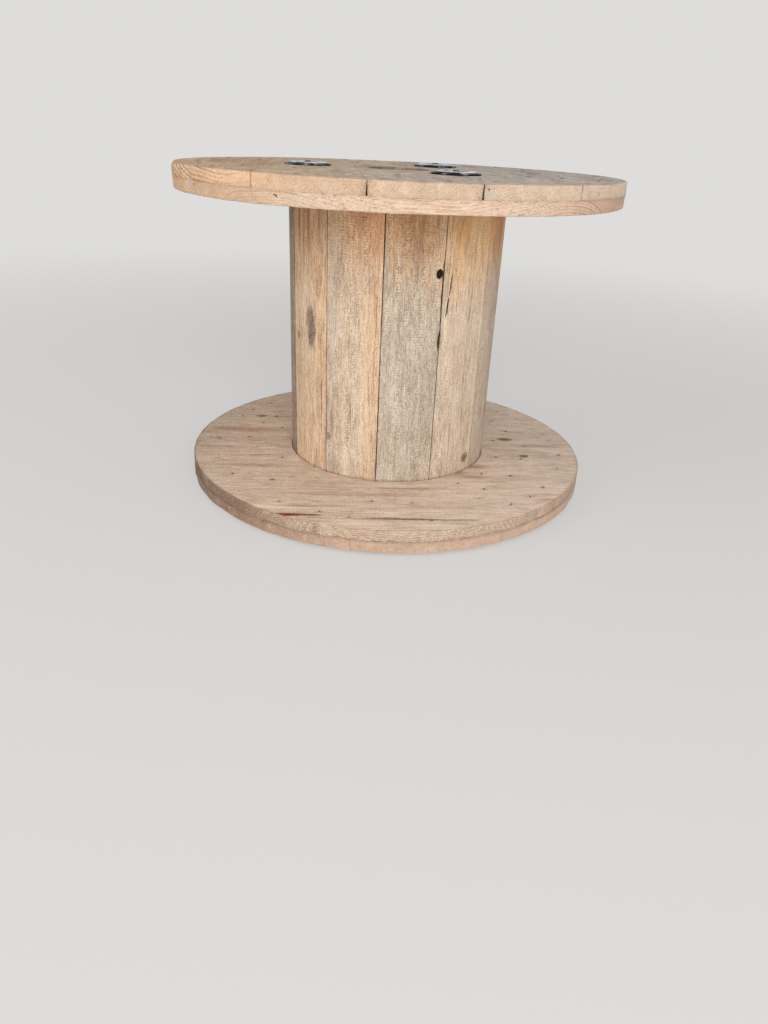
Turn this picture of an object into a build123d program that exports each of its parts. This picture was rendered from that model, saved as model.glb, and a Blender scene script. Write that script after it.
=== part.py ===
from build123d import *

import os
from itertools import pairwise
from math import asin, cos, degrees, radians, sin, tan

# Wooden cable drum, stored on its end. Each flange is two plies of planks nailed
# crosswise, then turned round. Bevelled staves stand in a turned groove of each
# flange, and three tie rods inside the barrel clamp the flanges on them.
# The origin is on the floor under the middle of the drum, and Z is the spindle axis.
# All sizes are in millimetres and all angles in degrees.

# Flanges
flange_diameter = 800.0
outer_ply = 21.0
inner_ply = 21.0
rim_chamfer = 3.0
bore_diameter = 110.0

# Planks: the direction that each inner ply runs in, seen from above, then for each ply how
# many planks it has and how wide its first and last are. The others share what is left.
top_run_angle = 5.4
bottom_run_angle = 4.5
top_outer_count = 5
top_outer_first = 160.0
top_outer_last = 160.0
top_inner_count = 5
top_inner_first = 160.0
top_inner_last = 160.0
bottom_outer_count = 6
bottom_outer_first = 104.0
bottom_outer_last = 56.0
bottom_inner_count = 5
bottom_inner_first = 146.0
bottom_inner_last = 54.0
plank_gap = 1.4

# Barrel
barrel_diameter = 400.0
traverse = 490.0
stave_count = 12
stave_thickness = 24.0
stave_gap = 1.4
stave_chamfer = 1.5
first_stave_angle = -95.3
groove_depth = 8.0
groove_play = 0.4

# Tie rods and their nuts
rod_count = 3
rod_to_stave = 11.0
first_rod_angle = -55.4
rod_diameter = 12.0
rod_play = 1.0
rod_chamfer = 1.2
rod_tail = 2.5
nut_flats = 19.0
nut_height = 10.0
nut_chamfer = 30.0
nut_inset = 1.0
thread_play = 0.1

# Cup washers: a sunk cup for the nut, a raised ring round it, and a flat lip on the wood
washer_sheet = 2.0
washer_hole_play = 0.5
washer_rise = 5.0
spanner_room = 5.0
cup_wall_run = 7.5
cup_play = 0.6
ring_width = 9.0
shoulder_run = 4.0
lip_width = 5.0

# Radii that follow from the sizes above
flange_radius = flange_diameter / 2
bore_radius = bore_diameter / 2
barrel_radius = barrel_diameter / 2
stave_flat = barrel_radius - stave_thickness
rod_circle = stave_flat - rod_to_stave
rod_radius = rod_diameter / 2
nut_corner = nut_flats / 2 / cos(radians(30))
cup_floor = nut_corner + spanner_room
cup_mouth = cup_floor + cup_wall_run
ring_edge = cup_mouth + ring_width
lip_start = ring_edge + shoulder_run
washer_radius = lip_start + lip_width
cup_depth = nut_height + nut_inset - washer_rise

# Heights from the floor up: the drum stands on the raised rings of its lower washers
bottom_face = washer_rise
winding_floor = bottom_face + outer_ply + inner_ply
winding_ceiling = winding_floor + traverse
top_face = winding_ceiling + inner_ply + outer_ply

# The outer face of each flange, with its Z pointing out of the wood
top = Plane(origin=(0, 0, top_face), x_dir=(1, 0, 0), z_dir=(0, 0, 1))
bottom = Plane(origin=(0, 0, bottom_face), x_dir=(1, 0, 0), z_dir=(0, 0, -1))

os.makedirs("parts", exist_ok=True)


def write(part, name):
    """Labels one finished piece and writes its STEP file."""
    part.label = name
    export_step(part, f"parts/{name}.step")


def section(face):
    """The half section of a turned piece: X is its radius, and Y points out of the face."""
    return Plane(origin=face.origin, x_dir=face.x_dir, z_dir=-face.y_dir)


def saw_planks(ply, name, across, count, first, last):
    """Cuts a turned ply into its planks, which run along the X of the plane given."""
    width = (flange_diameter - first - last) / (count - 2)
    joints = [first + step * width - flange_radius for step in range(count - 1)]
    edges = [-flange_radius, *joints, flange_radius]
    for number, (low, high) in enumerate(pairwise(edges), 1):
        near = low + plank_gap / 2 if low > -flange_radius else low
        far = high - plank_gap / 2 if high < flange_radius else high
        with BuildPart() as plank:
            add(ply)
            with BuildSketch(across):
                with Locations((0, (near + far) / 2)):
                    Rectangle(flange_diameter, far - near)
            extrude(amount=outer_ply + inner_ply, both=True, mode=Mode.INTERSECT)
        write(plank.part, f"{name}_plank_{number}")


def turn_outer_ply(face, rod_start):
    """The ply that faces out: a disc with its rim broken, the bore and the washers' seats."""
    with BuildPart(face) as ply:
        with BuildSketch(section(face)) as half:
            with Locations((flange_radius, 0)):
                Rectangle(flange_radius - bore_radius, outer_ply, align=(Align.MAX, Align.MAX))
            rim = half.vertices().group_by(Axis.X)[-1].group_by(Axis.Y)[-1]
            chamfer(rim, rim_chamfer)
        revolve(axis=Axis(face.origin, face.z_dir))
        with PolarLocations(rod_circle, rod_count, start_angle=rod_start):
            CounterBoreHole(
                rod_radius + rod_play,
                cup_mouth + cup_play,
                cup_depth + washer_sheet,
                depth=outer_ply,
            )
    return ply.part


def turn_inner_ply(face, rod_start):
    """The ply on the winding side: a disc with the bore, the rod holes and the staves' groove."""
    with BuildPart(face) as ply:
        with BuildSketch(section(face)):
            with Locations((flange_radius, 0)):
                Rectangle(flange_radius - bore_radius, inner_ply, align=(Align.MAX, Align.MAX))
            with Locations((barrel_radius + groove_play, -inner_ply)):
                Rectangle(
                    stave_thickness + 2 * groove_play,
                    groove_depth,
                    align=(Align.MAX, Align.MIN),
                    mode=Mode.SUBTRACT,
                )
        revolve(axis=Axis(face.origin, face.z_dir))
        with PolarLocations(rod_circle, rod_count, start_angle=rod_start):
            Hole(rod_radius + rod_play, depth=inner_ply)
    return ply.part


def make_stave(number):
    """One stave: round outside, flat inside, with bevelled sides that point at the axis."""
    half_pitch = radians(180 / stave_count)
    outer_half = degrees(half_pitch - asin(stave_gap / 2 / barrel_radius))
    inner_half = stave_flat * tan(half_pitch) - stave_gap / 2 / cos(half_pitch)
    middle = first_stave_angle + (number - 0.5) * 360 / stave_count
    foot = Plane.XY.offset(winding_floor - groove_depth).rotated((0, 0, middle))
    with BuildPart() as stave:
        with BuildSketch(foot) as profile:
            with BuildLine():
                back = CenterArc((0, 0), barrel_radius, -outer_half, 2 * outer_half)
                Polyline(back @ 1, (stave_flat, inner_half), (stave_flat, -inner_half), back @ 0)
            make_face()
            chamfer(profile.vertices().group_by(Axis.X)[-1], stave_chamfer)
        extrude(amount=traverse + 2 * groove_depth)
    write(stave.part, f"stave_{number:02d}")


def make_washers(face, rod_start, name):
    """A flange's cup washers, pressed from sheet: the lip lies on the wood, the cup is sunk in it."""
    half = washer_sheet / 2
    with BuildPart() as washer:
        with BuildSketch(section(Plane.XY)):
            with BuildLine():
                Polyline(
                    (washer_radius, half),
                    (lip_start, half),
                    (ring_edge, washer_rise - half),
                    (cup_mouth, washer_rise - half),
                    (cup_floor, -cup_depth - half),
                    (rod_radius + washer_hole_play, -cup_depth - half),
                )
            trace(line_width=washer_sheet)
        revolve(axis=Axis.Z)
    with BuildPart(face) as washers:
        with PolarLocations(rod_circle, rod_count, start_angle=rod_start):
            add(washer)
    write(washers.part, name)


def make_nuts(face, rod_start, name):
    """A flange's hexagon nuts, each on the floor of its cup, with its outer corners turned off."""
    turned_off = (nut_corner - nut_flats / 2) * tan(radians(nut_chamfer))
    with BuildPart() as nut:
        with BuildSketch():
            RegularPolygon(nut_flats / 2, 6, major_radius=False)
            Circle(rod_radius + thread_play, mode=Mode.SUBTRACT)
        extrude(amount=nut_height)
        with BuildSketch(section(Plane.XY)):
            Polygon(
                (0, 0),
                (nut_corner, 0),
                (nut_corner, nut_height - turned_off),
                (nut_flats / 2, nut_height),
                (0, nut_height),
                align=None,
            )
        revolve(axis=Axis.Z, mode=Mode.INTERSECT)
    with BuildPart(face.offset(-cup_depth)) as nuts:
        with PolarLocations(rod_circle, rod_count, start_angle=rod_start):
            add(nut)
    write(nuts.part, name)


def make_rod(number, middle):
    """One tie rod, sawn off level with its lower nut and standing chamfered out of the upper one."""
    low = bottom_face + cup_depth - nut_height
    high = top_face - cup_depth + nut_height + rod_tail
    with BuildPart() as rod:
        with BuildSketch(Plane.XY.offset(low)):
            with Locations(middle):
                Circle(rod_radius)
        extrude(amount=high - low)
        chamfer(rod.edges().group_by(Axis.Z)[-1], rod_chamfer)
    write(rod.part, f"tie_rod_{number}")


def make_flange(name, face, run, rod_start, outer, inner):
    """Both plies of a flange, the outer one square to the inner, with its washers and nuts."""
    outer_disc = turn_outer_ply(face, rod_start)
    inner_disc = turn_inner_ply(face.offset(-outer_ply), rod_start)
    saw_planks(outer_disc, f"{name}_outer", face.rotated((0, 0, run - 90)), *outer)
    saw_planks(inner_disc, f"{name}_inner", face.rotated((0, 0, run)), *inner)
    make_washers(face, rod_start, f"{name}_cup_washers")
    make_nuts(face, rod_start, f"{name}_nuts")


# Flanges: angles turn the other way on the lower one, whose face looks down
make_flange(
    "top",
    top,
    top_run_angle,
    first_rod_angle,
    (top_outer_count, top_outer_first, top_outer_last),
    (top_inner_count, top_inner_first, top_inner_last),
)
make_flange(
    "bottom",
    bottom,
    -bottom_run_angle,
    -first_rod_angle,
    (bottom_outer_count, bottom_outer_first, bottom_outer_last),
    (bottom_inner_count, bottom_inner_first, bottom_inner_last),
)

# Barrel
for number in range(1, stave_count + 1):
    make_stave(number)

# Tie rods
for number in range(1, rod_count + 1):
    around = radians(first_rod_angle + (number - 1) * 360 / rod_count)
    make_rod(number, (rod_circle * cos(around), rod_circle * sin(around)))
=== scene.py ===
from math import asin, atan2, cos, degrees, hypot, pi, radians, sin, tan

import bpy
import numpy as np
from mathutils import Matrix, Vector


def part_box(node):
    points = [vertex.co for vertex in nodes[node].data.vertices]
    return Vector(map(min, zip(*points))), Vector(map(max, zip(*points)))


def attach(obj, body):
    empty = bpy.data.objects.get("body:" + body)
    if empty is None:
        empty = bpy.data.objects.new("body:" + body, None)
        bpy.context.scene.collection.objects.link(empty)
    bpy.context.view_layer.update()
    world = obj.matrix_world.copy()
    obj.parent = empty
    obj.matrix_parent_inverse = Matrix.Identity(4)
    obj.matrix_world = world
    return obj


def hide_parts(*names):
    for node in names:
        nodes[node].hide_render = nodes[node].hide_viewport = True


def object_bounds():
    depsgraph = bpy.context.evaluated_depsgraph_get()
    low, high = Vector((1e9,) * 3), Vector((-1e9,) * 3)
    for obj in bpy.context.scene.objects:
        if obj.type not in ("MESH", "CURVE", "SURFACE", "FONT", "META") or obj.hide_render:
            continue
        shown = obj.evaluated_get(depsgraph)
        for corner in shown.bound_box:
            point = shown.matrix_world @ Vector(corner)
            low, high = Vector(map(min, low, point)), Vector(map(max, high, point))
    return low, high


# Wooden cable drum standing on its end: planks nailed crosswise in two plies make each
# flange, bevelled staves make the barrel, and tie rods with cup washers clamp them.
# Sizes are in metres and come from the frame; angles are in degrees.

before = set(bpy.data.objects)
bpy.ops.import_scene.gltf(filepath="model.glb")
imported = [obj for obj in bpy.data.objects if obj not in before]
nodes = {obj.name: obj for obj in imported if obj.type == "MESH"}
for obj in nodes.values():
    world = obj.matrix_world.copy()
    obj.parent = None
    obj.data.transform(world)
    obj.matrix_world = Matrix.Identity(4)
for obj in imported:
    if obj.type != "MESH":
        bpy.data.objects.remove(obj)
cad_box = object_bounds()

MM = 0.001

# The photograph's camera
CAMERA_PLACE = (0.0, -1.4866, 0.6349)
CAMERA_YAW = 0.033
CAMERA_PITCH = 26.92
CAMERA_ROLL = 2.65
CAMERA_FOCAL = 745.92
PHOTO_HEIGHT = 1024
SENSOR = 36.0

# How each ply lies: the inner plies run along these directions, the outer ones square to them
TOP_RUN = 5.4
BOTTOM_RUN = 4.5


def points_of(mesh):
    """The points of a mesh, as rows of x, y and z."""
    points = np.zeros(len(mesh.vertices) * 3)
    mesh.vertices.foreach_get("co", points)
    return points.reshape(-1, 3)


def corners_of(node):
    """The corner points of a node of the frame, as rows of x, y and z."""
    return points_of(nodes[node].data)


# Sizes read from the frame
FLANGE_RADIUS = (cad_box[1].x - cad_box[0].x) / 2
BORE_RADIUS = np.hypot(*corners_of("top_outer_plank_3").T[:2]).min()
BARREL_RADIUS = np.hypot(*corners_of("stave_01").T[:2]).max()
STAVE_FLAT = np.hypot(*corners_of("stave_01").T[:2]).min()
STAVE_COUNT = sum(name.startswith("stave") for name in nodes)
WINDING_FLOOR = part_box("bottom_inner_plank_3")[1].z
WINDING_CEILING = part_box("top_inner_plank_3")[0].z
TOP_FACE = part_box("top_outer_plank_3")[1].z
BOTTOM_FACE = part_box("bottom_outer_plank_3")[0].z
RODS = [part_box(f"tie_rod_{number}") for number in (1, 2, 3)]
ROD_PLACES = [((low.x + high.x) / 2, (low.y + high.y) / 2) for low, high in RODS]
ROD_RADIUS = (RODS[0][1].x - RODS[0][0].x) / 2
ROD_FOOT, ROD_TIP = RODS[0][0].z, RODS[0][1].z

# A distance that is farther than anything on the drum
FAR = 9.0


# Shapes: smooth random heights and the surfaces of boards

def random_at(x, y, z, seed):
    """A random number from -1 to 1 for each whole-number place, mixed from its bits."""
    mixed = (x * 73856093) ^ (y * 19349663) ^ (z * 83492791) ^ (seed * 2654435761)
    mixed = (mixed ^ (mixed >> 13)) * 1274126177
    return ((mixed ^ (mixed >> 16)) & 0xFFFF) / 32767.5 - 1


def ripple(places, wave, seed):
    """Smooth random heights from -1 to 1 at places x, y and z in metres, one wave length for each
    way: the numbers at the eight whole places round each, blended by 3t^2 - 2t^3."""
    scaled = np.column_stack(np.broadcast_arrays(*places)) / np.asarray(wave)
    whole = np.floor(scaled).astype(np.int64)
    part = scaled - whole
    part = part * part * (3 - 2 * part)
    total = 0
    for corner in np.ndindex(2, 2, 2):
        weight = np.prod(np.where(corner, part, 1 - part), axis=1)
        total = total + weight * random_at(*(whole + corner).T, seed)
    return total


def bump(distance, width):
    """One at distance zero, falling smoothly to nothing at the width: (1 - d^2)^2."""
    return np.clip(1 - (distance / width) ** 2, 0, 1) ** 2


def rise(value, low, high):
    """Zero below low and one above high, with 3t^2 - 2t^3 between."""
    part = np.clip((value - low) / (high - low), 0, 1)
    return part * part * (3 - 2 * part)


def ruled(low, high, step, edge, fine=()):
    """Places of grid lines from low to high: evenly spaced, closer at both edges for their
    rounding, and closer still where fine asks for it with (middle, half width, step)."""
    even = np.linspace(low, high, max(2, int(round((high - low) / step)) + 1))
    places = [even[(even > low + edge) & (even < high - edge)]]
    for part in (0, 0.12, 0.4, 0.72, 1):
        places.append(np.array([low + part * edge, high - part * edge]))
    for middle, half, close in fine:
        places.append(np.arange(middle - half, middle + half + close / 2, close))
    places = np.unique(np.round(np.concatenate(places), 6))
    places = places[(places >= low) & (places <= high)]
    keep = np.append(np.diff(places) > 0.00012, True)
    keep[0] = True
    return places[keep]


def shell(counts):
    """The outside of a lattice with those counts of points: its points as whole places, and
    quads over its six sides, all facing out."""
    index = np.full(counts, -1)
    place = np.indices(counts)
    last = np.array(counts).reshape(3, 1, 1, 1) - 1
    outside = ((place == 0) | (place == last)).any(axis=0)
    index[outside] = np.arange(outside.sum())
    quads = []
    for axis in range(3):
        for end in (0, -1):
            sheet = index.take(end, axis=axis)
            sides = [sheet[:-1, :-1], sheet[1:, :-1], sheet[1:, 1:], sheet[:-1, 1:]]
            if (end == 0) != (axis == 1):
                sides.reverse()
            quads.append(np.stack(sides, axis=-1).reshape(-1, 4))
    return place[:, outside].T, np.concatenate(quads)


def ring_points(radius, turn, height, place=(0.0, 0.0, 0.0)):
    """Points (r cos t, r sin t, h) round an upright line, one ring of them for each height."""
    x, y = radius * np.cos(turn), radius * np.sin(turn)
    z = np.repeat(height[:, None], len(turn), axis=1)
    return np.stack([x, y, z], axis=-1).reshape(-1, 3) + place


def ring_quads(rows, around, closed=False):
    """Quads from each ring of points to the next, and from the last to the first if closed.
    They face out where the rings turn left and climb, seen from above."""
    index = np.arange(rows * around).reshape(rows, around)
    beside = np.roll(index, -1, axis=1)
    above, beside_above = np.roll(index, -1, axis=0), np.roll(beside, -1, axis=0)
    quads = np.stack([index, beside, beside_above, above], axis=-1)
    return (quads if closed else quads[:-1]).reshape(-1, 4)


def make_mesh(name, points, faces):
    """A mesh of those points and of faces that all have as many corners."""
    mesh = bpy.data.meshes.new(name)
    mesh.vertices.add(len(points))
    mesh.vertices.foreach_set("co", np.ascontiguousarray(points, np.float32).ravel())
    mesh.loops.add(faces.size)
    mesh.loops.foreach_set("vertex_index", np.ascontiguousarray(faces, np.int32).ravel())
    mesh.polygons.add(len(faces))
    starts = np.arange(0, faces.size, faces.shape[1], dtype=np.int32)
    mesh.polygons.foreach_set("loop_start", starts)
    mesh.update(calc_edges=True)
    return mesh


def placed(name, data):
    """A new object in the scene that shows the data."""
    thing = bpy.data.objects.new(name, data)
    bpy.context.scene.collection.objects.link(thing)
    return thing


def make_piece(name, mesh, material, stands_for, sharp=40):
    """A finished piece: it rides on the drum and hides the nodes it stands for."""
    mesh.materials.clear()
    mesh.materials.append(material)
    mesh.polygons.foreach_set("use_smooth", np.ones(len(mesh.polygons), bool))
    mesh.set_sharp_from_angle(angle=radians(sharp))
    piece = placed(name, mesh)
    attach(piece, "root")
    if stands_for:
        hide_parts(*stands_for)


def cut(mesh, cutters):
    """The mesh with the cutters' shapes taken out of it."""
    body = placed("body", mesh)
    for cutter in cutters:
        step = body.modifiers.new("cut", "BOOLEAN")
        step.operation = "DIFFERENCE"
        step.solver = "MANIFOLD"
        step.object = cutter
    bpy.context.view_layer.update()
    seen = body.evaluated_get(bpy.context.evaluated_depsgraph_get())
    result = bpy.data.meshes.new_from_object(seen)
    bpy.data.objects.remove(body)
    return result


def turned(profile, around, place=(0.0, 0.0, 0.0), flip=False):
    """A closed profile of radii and heights carried round an upright axis: points
    (r cos t, r sin t, h) for each of the turns t, and quads between them facing out."""
    radius, height = np.asarray(profile, float).T
    turn = np.linspace(0, 2 * pi, around, endpoint=False)
    points = ring_points(radius[:, None], turn, -height if flip else height, place)
    quads = ring_quads(len(radius), around, closed=True)
    return points, quads[:, ::-1] if flip else quads


def joined(shapes):
    """Several shapes of points and faces as one."""
    points, faces, first = [], [], 0
    for some_points, some_faces in shapes:
        points.append(some_points)
        faces.append(some_faces + first)
        first += len(some_points)
    return np.concatenate(points), np.concatenate(faces)


# Finishes: shader maths written as expressions

class Value:
    """A number or a colour that varies over a surface. Arithmetic on it adds Math nodes."""

    def __init__(self, finish, socket):
        self.finish = finish
        self.socket = socket

    def maths(self, operation, *values, clamp=False):
        settings = {"operation": operation, "use_clamp": clamp}
        return self.finish.node("ShaderNodeMath", settings, dict(enumerate(values)))

    def __add__(self, other):
        return self.maths("ADD", self, other)

    def __radd__(self, other):
        return self.maths("ADD", other, self)

    def __sub__(self, other):
        return self.maths("SUBTRACT", self, other)

    def __rsub__(self, other):
        return self.maths("SUBTRACT", other, self)

    def __mul__(self, other):
        return self.maths("MULTIPLY", self, other)

    def __rmul__(self, other):
        return self.maths("MULTIPLY", other, self)

    def __truediv__(self, other):
        return self.maths("DIVIDE", self, other)

    def __rtruediv__(self, other):
        return self.maths("DIVIDE", other, self)

    def __pow__(self, other):
        return self.maths("POWER", self, other)

    def __rpow__(self, other):
        return self.maths("POWER", other, self)

    def whole(self):
        return self.maths("FLOOR", self)

    def part(self):
        return self.maths("FRACT", self)

    def root(self):
        return self.maths("SQRT", self)

    def wave(self):
        return self.maths("SINE", self)

    def size(self):
        return self.maths("ABSOLUTE", self)

    def most(self, other):
        return self.maths("MAXIMUM", self, other)

    def held(self):
        return self.maths("ADD", self, 0.0, clamp=True)

    def step(self, low, high):
        """Zero up to low, one from high on, and a smooth rise between."""
        settings = {"interpolation_type": "SMOOTHSTEP"}
        values = {"Value": self, "From Min": low, "From Max": high}
        return self.finish.node("ShaderNodeMapRange", settings, values)


class Finish:
    """One material or world, whose nodes are added by expressions."""

    def __init__(self, owner):
        self.owner = owner
        owner.use_nodes = True
        self.nodes = owner.node_tree.nodes
        self.links = owner.node_tree.links
        self.nodes.clear()

    def node(self, kind, settings, values, out=0):
        """Adds a node of that kind, with its settings first and then its sockets."""
        made = self.nodes.new(kind)
        for name, value in settings.items():
            setattr(made, name, value)
        for name, value in values.items():
            socket = made.inputs[name]
            if isinstance(value, Value):
                self.links.new(value.socket, socket)
            elif value is not None:
                socket.default_value = value
        return Value(self, made.outputs[out]) if len(made.outputs) else None

    def attribute(self, name, out="Fac"):
        return self.node("ShaderNodeAttribute", {"attribute_name": name}, {}, out)

    def noise(self, place, scale, detail=2.0, roughness=0.55):
        """Noise from 0 to 1 over a place, with a scale for each way."""
        settings = {"operation": "MULTIPLY"}
        spread = self.node("ShaderNodeVectorMath", settings, {0: place, 1: scale})
        values = {"Vector": spread, "Scale": 1.0, "Detail": detail, "Roughness": roughness}
        return self.node("ShaderNodeTexNoise", {}, values)

    def mix(self, amount, first, second, blend="MIX"):
        """The first colour, turned into the second by the amount."""
        settings = {"data_type": "RGBA", "blend_type": blend}
        values = {0: amount, 6: first, 7: second}
        return self.node("ShaderNodeMix", settings, values, out=2)

    def parts(self, vector):
        """The three parts of a vector."""
        made = self.nodes.new("ShaderNodeSeparateXYZ")
        self.links.new(vector.socket, made.inputs[0])
        return [Value(self, output) for output in made.outputs]

    def surface(self, constants, values, height, strength, distance):
        """Ends the material: a surface with those constants and values, and a bump."""
        bumps = {"Strength": strength, "Distance": distance, "Height": height}
        normal = self.node("ShaderNodeBump", {}, bumps)
        sockets = {**constants, **values, "Normal": normal}
        shader = self.node("ShaderNodeBsdfPrincipled", {}, sockets)
        self.node("ShaderNodeOutputMaterial", {}, {"Surface": shader})
        return self.owner

    def shown_rays(self):
        """One where the camera, gloss or glass looks, and zero for the light on the drum."""
        rays = ("Is Camera Ray", "Is Glossy Ray", "Is Transmission Ray")
        camera, gloss, glass = (self.node("ShaderNodeLightPath", {}, {}, ray) for ray in rays)
        return (camera + gloss + glass).held()


def colour(red, green, blue):
    """A colour as it looks on a screen, from 0 to 255 each, as linear light."""
    parts = [part / 255 for part in (red, green, blue)]
    return (*[p / 12.92 if p < 0.04045 else ((p + 0.055) / 1.055) ** 2.4 for p in parts], 1.0)


# The width of a year's growth ring, and how many saw teeth bite to the metre, in radians
RING_WIDTH = 4.2 * MM
TOOTH_WAVES = 1350.0


def sawn_softwood():
    """Weathered sawn softwood. Growth rings are distance from the heart of the log, warped
    slowly along the grain and pushed out round knots. Over them lie fibres, saw marks, grey
    weathering, stains, grime and painted shade, as far as each board's own marks ask for them."""
    wood = Finish(bpy.data.materials.new("sawn_softwood"))

    def darken(amount, base, tone):
        return wood.mix(amount, base, tone, "MULTIPLY")

    place = wood.attribute("grain", "Vector")
    tint = wood.attribute("tint", "Color")
    grey, dark, sawn = wood.parts(wood.attribute("ageing_and_shade", "Vector"))
    end, ring_tone, pale = wood.parts(wood.attribute("cut", "Vector"))
    brown, smooth, _ = wood.parts(wood.attribute("stain", "Vector"))
    rough = 1 - smooth
    knot_x, knot_y, knot_depth = wood.parts(wood.attribute("knot", "Vector"))
    along, across, deep = wood.parts(place)

    knot = (knot_x * knot_x + knot_y * knot_y).root()
    slow = wood.noise(place, (2.2, 9.0, 9.0), 2.0)
    quick = wood.noise(place, (9.0, 60.0, 60.0), 2.0)
    swell = 2.718 ** (-0.45 * knot * knot) * knot_depth
    heart = (across * across + deep * deep).root()
    rings = (heart + (slow - 0.5) * 0.030 + (quick - 0.5) * 0.0022 + swell) / RING_WIDTH
    ring = rings.part()
    year = wood.node("ShaderNodeTexWhiteNoise", {"noise_dimensions": "1D"}, {"W": rings.whole()})
    late = ring.step(0.25, 0.9) * (1 - ring.step(0.93, 1.0)) * (0.45 + 0.75 * year)

    # Patterns that run with the grain, from the finest to the widest, and the saw's marks
    fibres = wood.noise(place, (75.0, 760.0, 760.0), 2.0, 0.7)
    threads = wood.noise(place, (24.0, 420.0, 420.0), 4.0, 0.7)
    blotches = wood.noise(place, (3.5, 16.0, 16.0), 3.0)
    mottling = wood.noise(place, (22.0, 90.0, 90.0), 4.0, 0.7)
    weather = wood.noise(place, (15.0, 48.0, 48.0), 5.0, 0.72)
    specks = wood.noise(place, (45.0, 330.0, 330.0), 2.0, 0.7).step(0.64, 0.76)
    shakes = wood.noise(place, (4.5, 330.0, 330.0), 3.0, 0.6).step(0.63, 0.69)
    hairs = wood.noise(place, (30.0, 620.0, 620.0), 3.0, 0.75).step(0.55, 0.64)
    side = 1 - end
    teeth = (along * TOOTH_WAVES + (mottling - 0.5) * 9.0 + across * 25.0).wave() * 0.5 + 0.5
    columns = wood.noise(place, (9.0, 110.0, 110.0), 3.0).step(0.42, 0.58)
    bites = wood.noise(place, (300.0, 200.0, 200.0), 3.0, 0.7).step(0.42, 0.58)
    marks = sawn * columns * bites * (0.4 + 0.6 * teeth)
    furrows = sawn * columns * (1 - teeth) * (1 - bites)

    # Clean wood: rings, fibres and saw marks
    early = wood.mix(0.4 * (blotches - 0.25).held(), tint, colour(236, 214, 186))
    mottled = darken(((mottling - 0.5) * 1.2).held(), early, colour(206, 170, 134))
    ringed = darken((late * ring_tone).held(), mottled, colour(164, 112, 70))
    streaking = ((0.53 - threads) * (0.5 + 0.9 * side) * rough).held()
    streaked = darken(streaking, ringed, colour(168, 132, 100))
    lifted = ((fibres - 0.47) * (0.8 + 1.3 * side)).held()
    fibred = wood.mix(lifted, streaked, colour(250, 234, 212))
    lined = darken(hairs * (0.12 + 0.42 * side) * rough, fibred, colour(138, 100, 70))
    split = darken(shakes * (0.1 + 0.4 * side), lined, colour(120, 84, 60))
    cut_end = darken(end * 0.25, split, colour(222, 176, 134))
    furrowed = darken((furrows * 0.75).held(), cut_end, colour(176, 142, 112))
    sawn_marks = wood.mix((marks * 1.1).held(), furrowed, colour(248, 228, 196))
    fresh = wood.mix(pale, sawn_marks, colour(252, 232, 198))

    # Knots: ringed and checked inside, with a ragged dark edge
    in_knot = knot_depth.step(0.0, 0.001)
    knot_rings = (knot * 7.0 + (quick - 0.5) * 6.0 + (threads - 0.5) * 5.0).wave() * 0.5 + 0.5
    knot_wood = wood.mix(knot_rings, colour(156, 108, 76), colour(112, 74, 52))
    checks = wood.noise(place, (100.0, 260.0, 260.0), 1.0).step(0.50, 0.56)
    checked = wood.mix(checks * (0.45 + 0.9 * grey), knot_wood, colour(58, 42, 34))
    knot_body = wood.mix(brown, checked, colour(178, 100, 76))
    ragged = knot + (threads - 0.5) * 1.2 + (mottling - 0.5) * 1.6
    knotted = wood.mix((1 - ragged.step(0.80, 1.02)) * in_knot, fresh, knot_body)
    edge = (1 - (ragged - 1.0).size().step(0.0, 0.2)) * in_knot
    knot_edged = wood.mix(0.5 * edge, knotted, colour(84, 56, 42))

    # Weather: grey, bleached and fuzzy patches, then dust, stains, grime and painted shade
    greyness = (grey * (0.15 + 0.7 * blotches + 1.6 * (weather - 0.25))).held()
    aged = wood.mix(greyness * 0.85, knot_edged, colour(172, 161, 149))
    contrast = (1.4 + 2.0 * grey) * rough
    weathered = darken(((weather - 0.50) * contrast).held(), aged, colour(176, 154, 128))
    bleached = wood.mix(((0.47 - weather) * contrast).held(), weathered, colour(238, 228, 212))
    furred = ((fibres - 0.50) * (0.5 + 2.2 * greyness)).held()
    fuzz = wood.mix(furred, bleached, colour(212, 202, 190))
    grit = wood.noise(place, (330.0, 620.0, 620.0), 2.0, 0.8)
    dusted = wood.mix(((grit - 0.52) * 2.8 * rough).held(), fuzz, colour(246, 232, 210))
    pitted = darken(((0.45 - grit) * 2.8 * rough).held(), dusted, colour(150, 118, 90))
    stained = darken(brown, pitted, colour(178, 128, 92))
    specked = wood.mix(specks * (0.18 + 0.3 * grey + 0.3 * end), stained, colour(104, 78, 58))
    dashes = wood.noise(place, (110.0, 640.0, 640.0), 3.0, 0.75).step(0.44, 0.56)
    # Grime and painted shade, from each board's dark mark
    grime_and_shade_amount = (dark * (0.25 + 0.45 * mottling + 0.8 * dashes) + 3.0 * (dark - 0.6).most(0.0)).held()
    grimed_and_shaded = wood.mix(grime_and_shade_amount, specked, colour(52, 36, 26))

    height = late * 0.3 + fibres * 0.45 + threads * 0.5 + marks * 0.5
    height = height - specks * 0.5 - shakes * 0.8 - hairs * 0.5
    roughness = 0.88 - 0.08 * late
    return wood.surface(
        {"IOR": 1.45, "Specular IOR Level": 0.25},
        {"Base Color": grimed_and_shaded, "Roughness": roughness},
        height, 0.7, 0.0009,
    )


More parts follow.
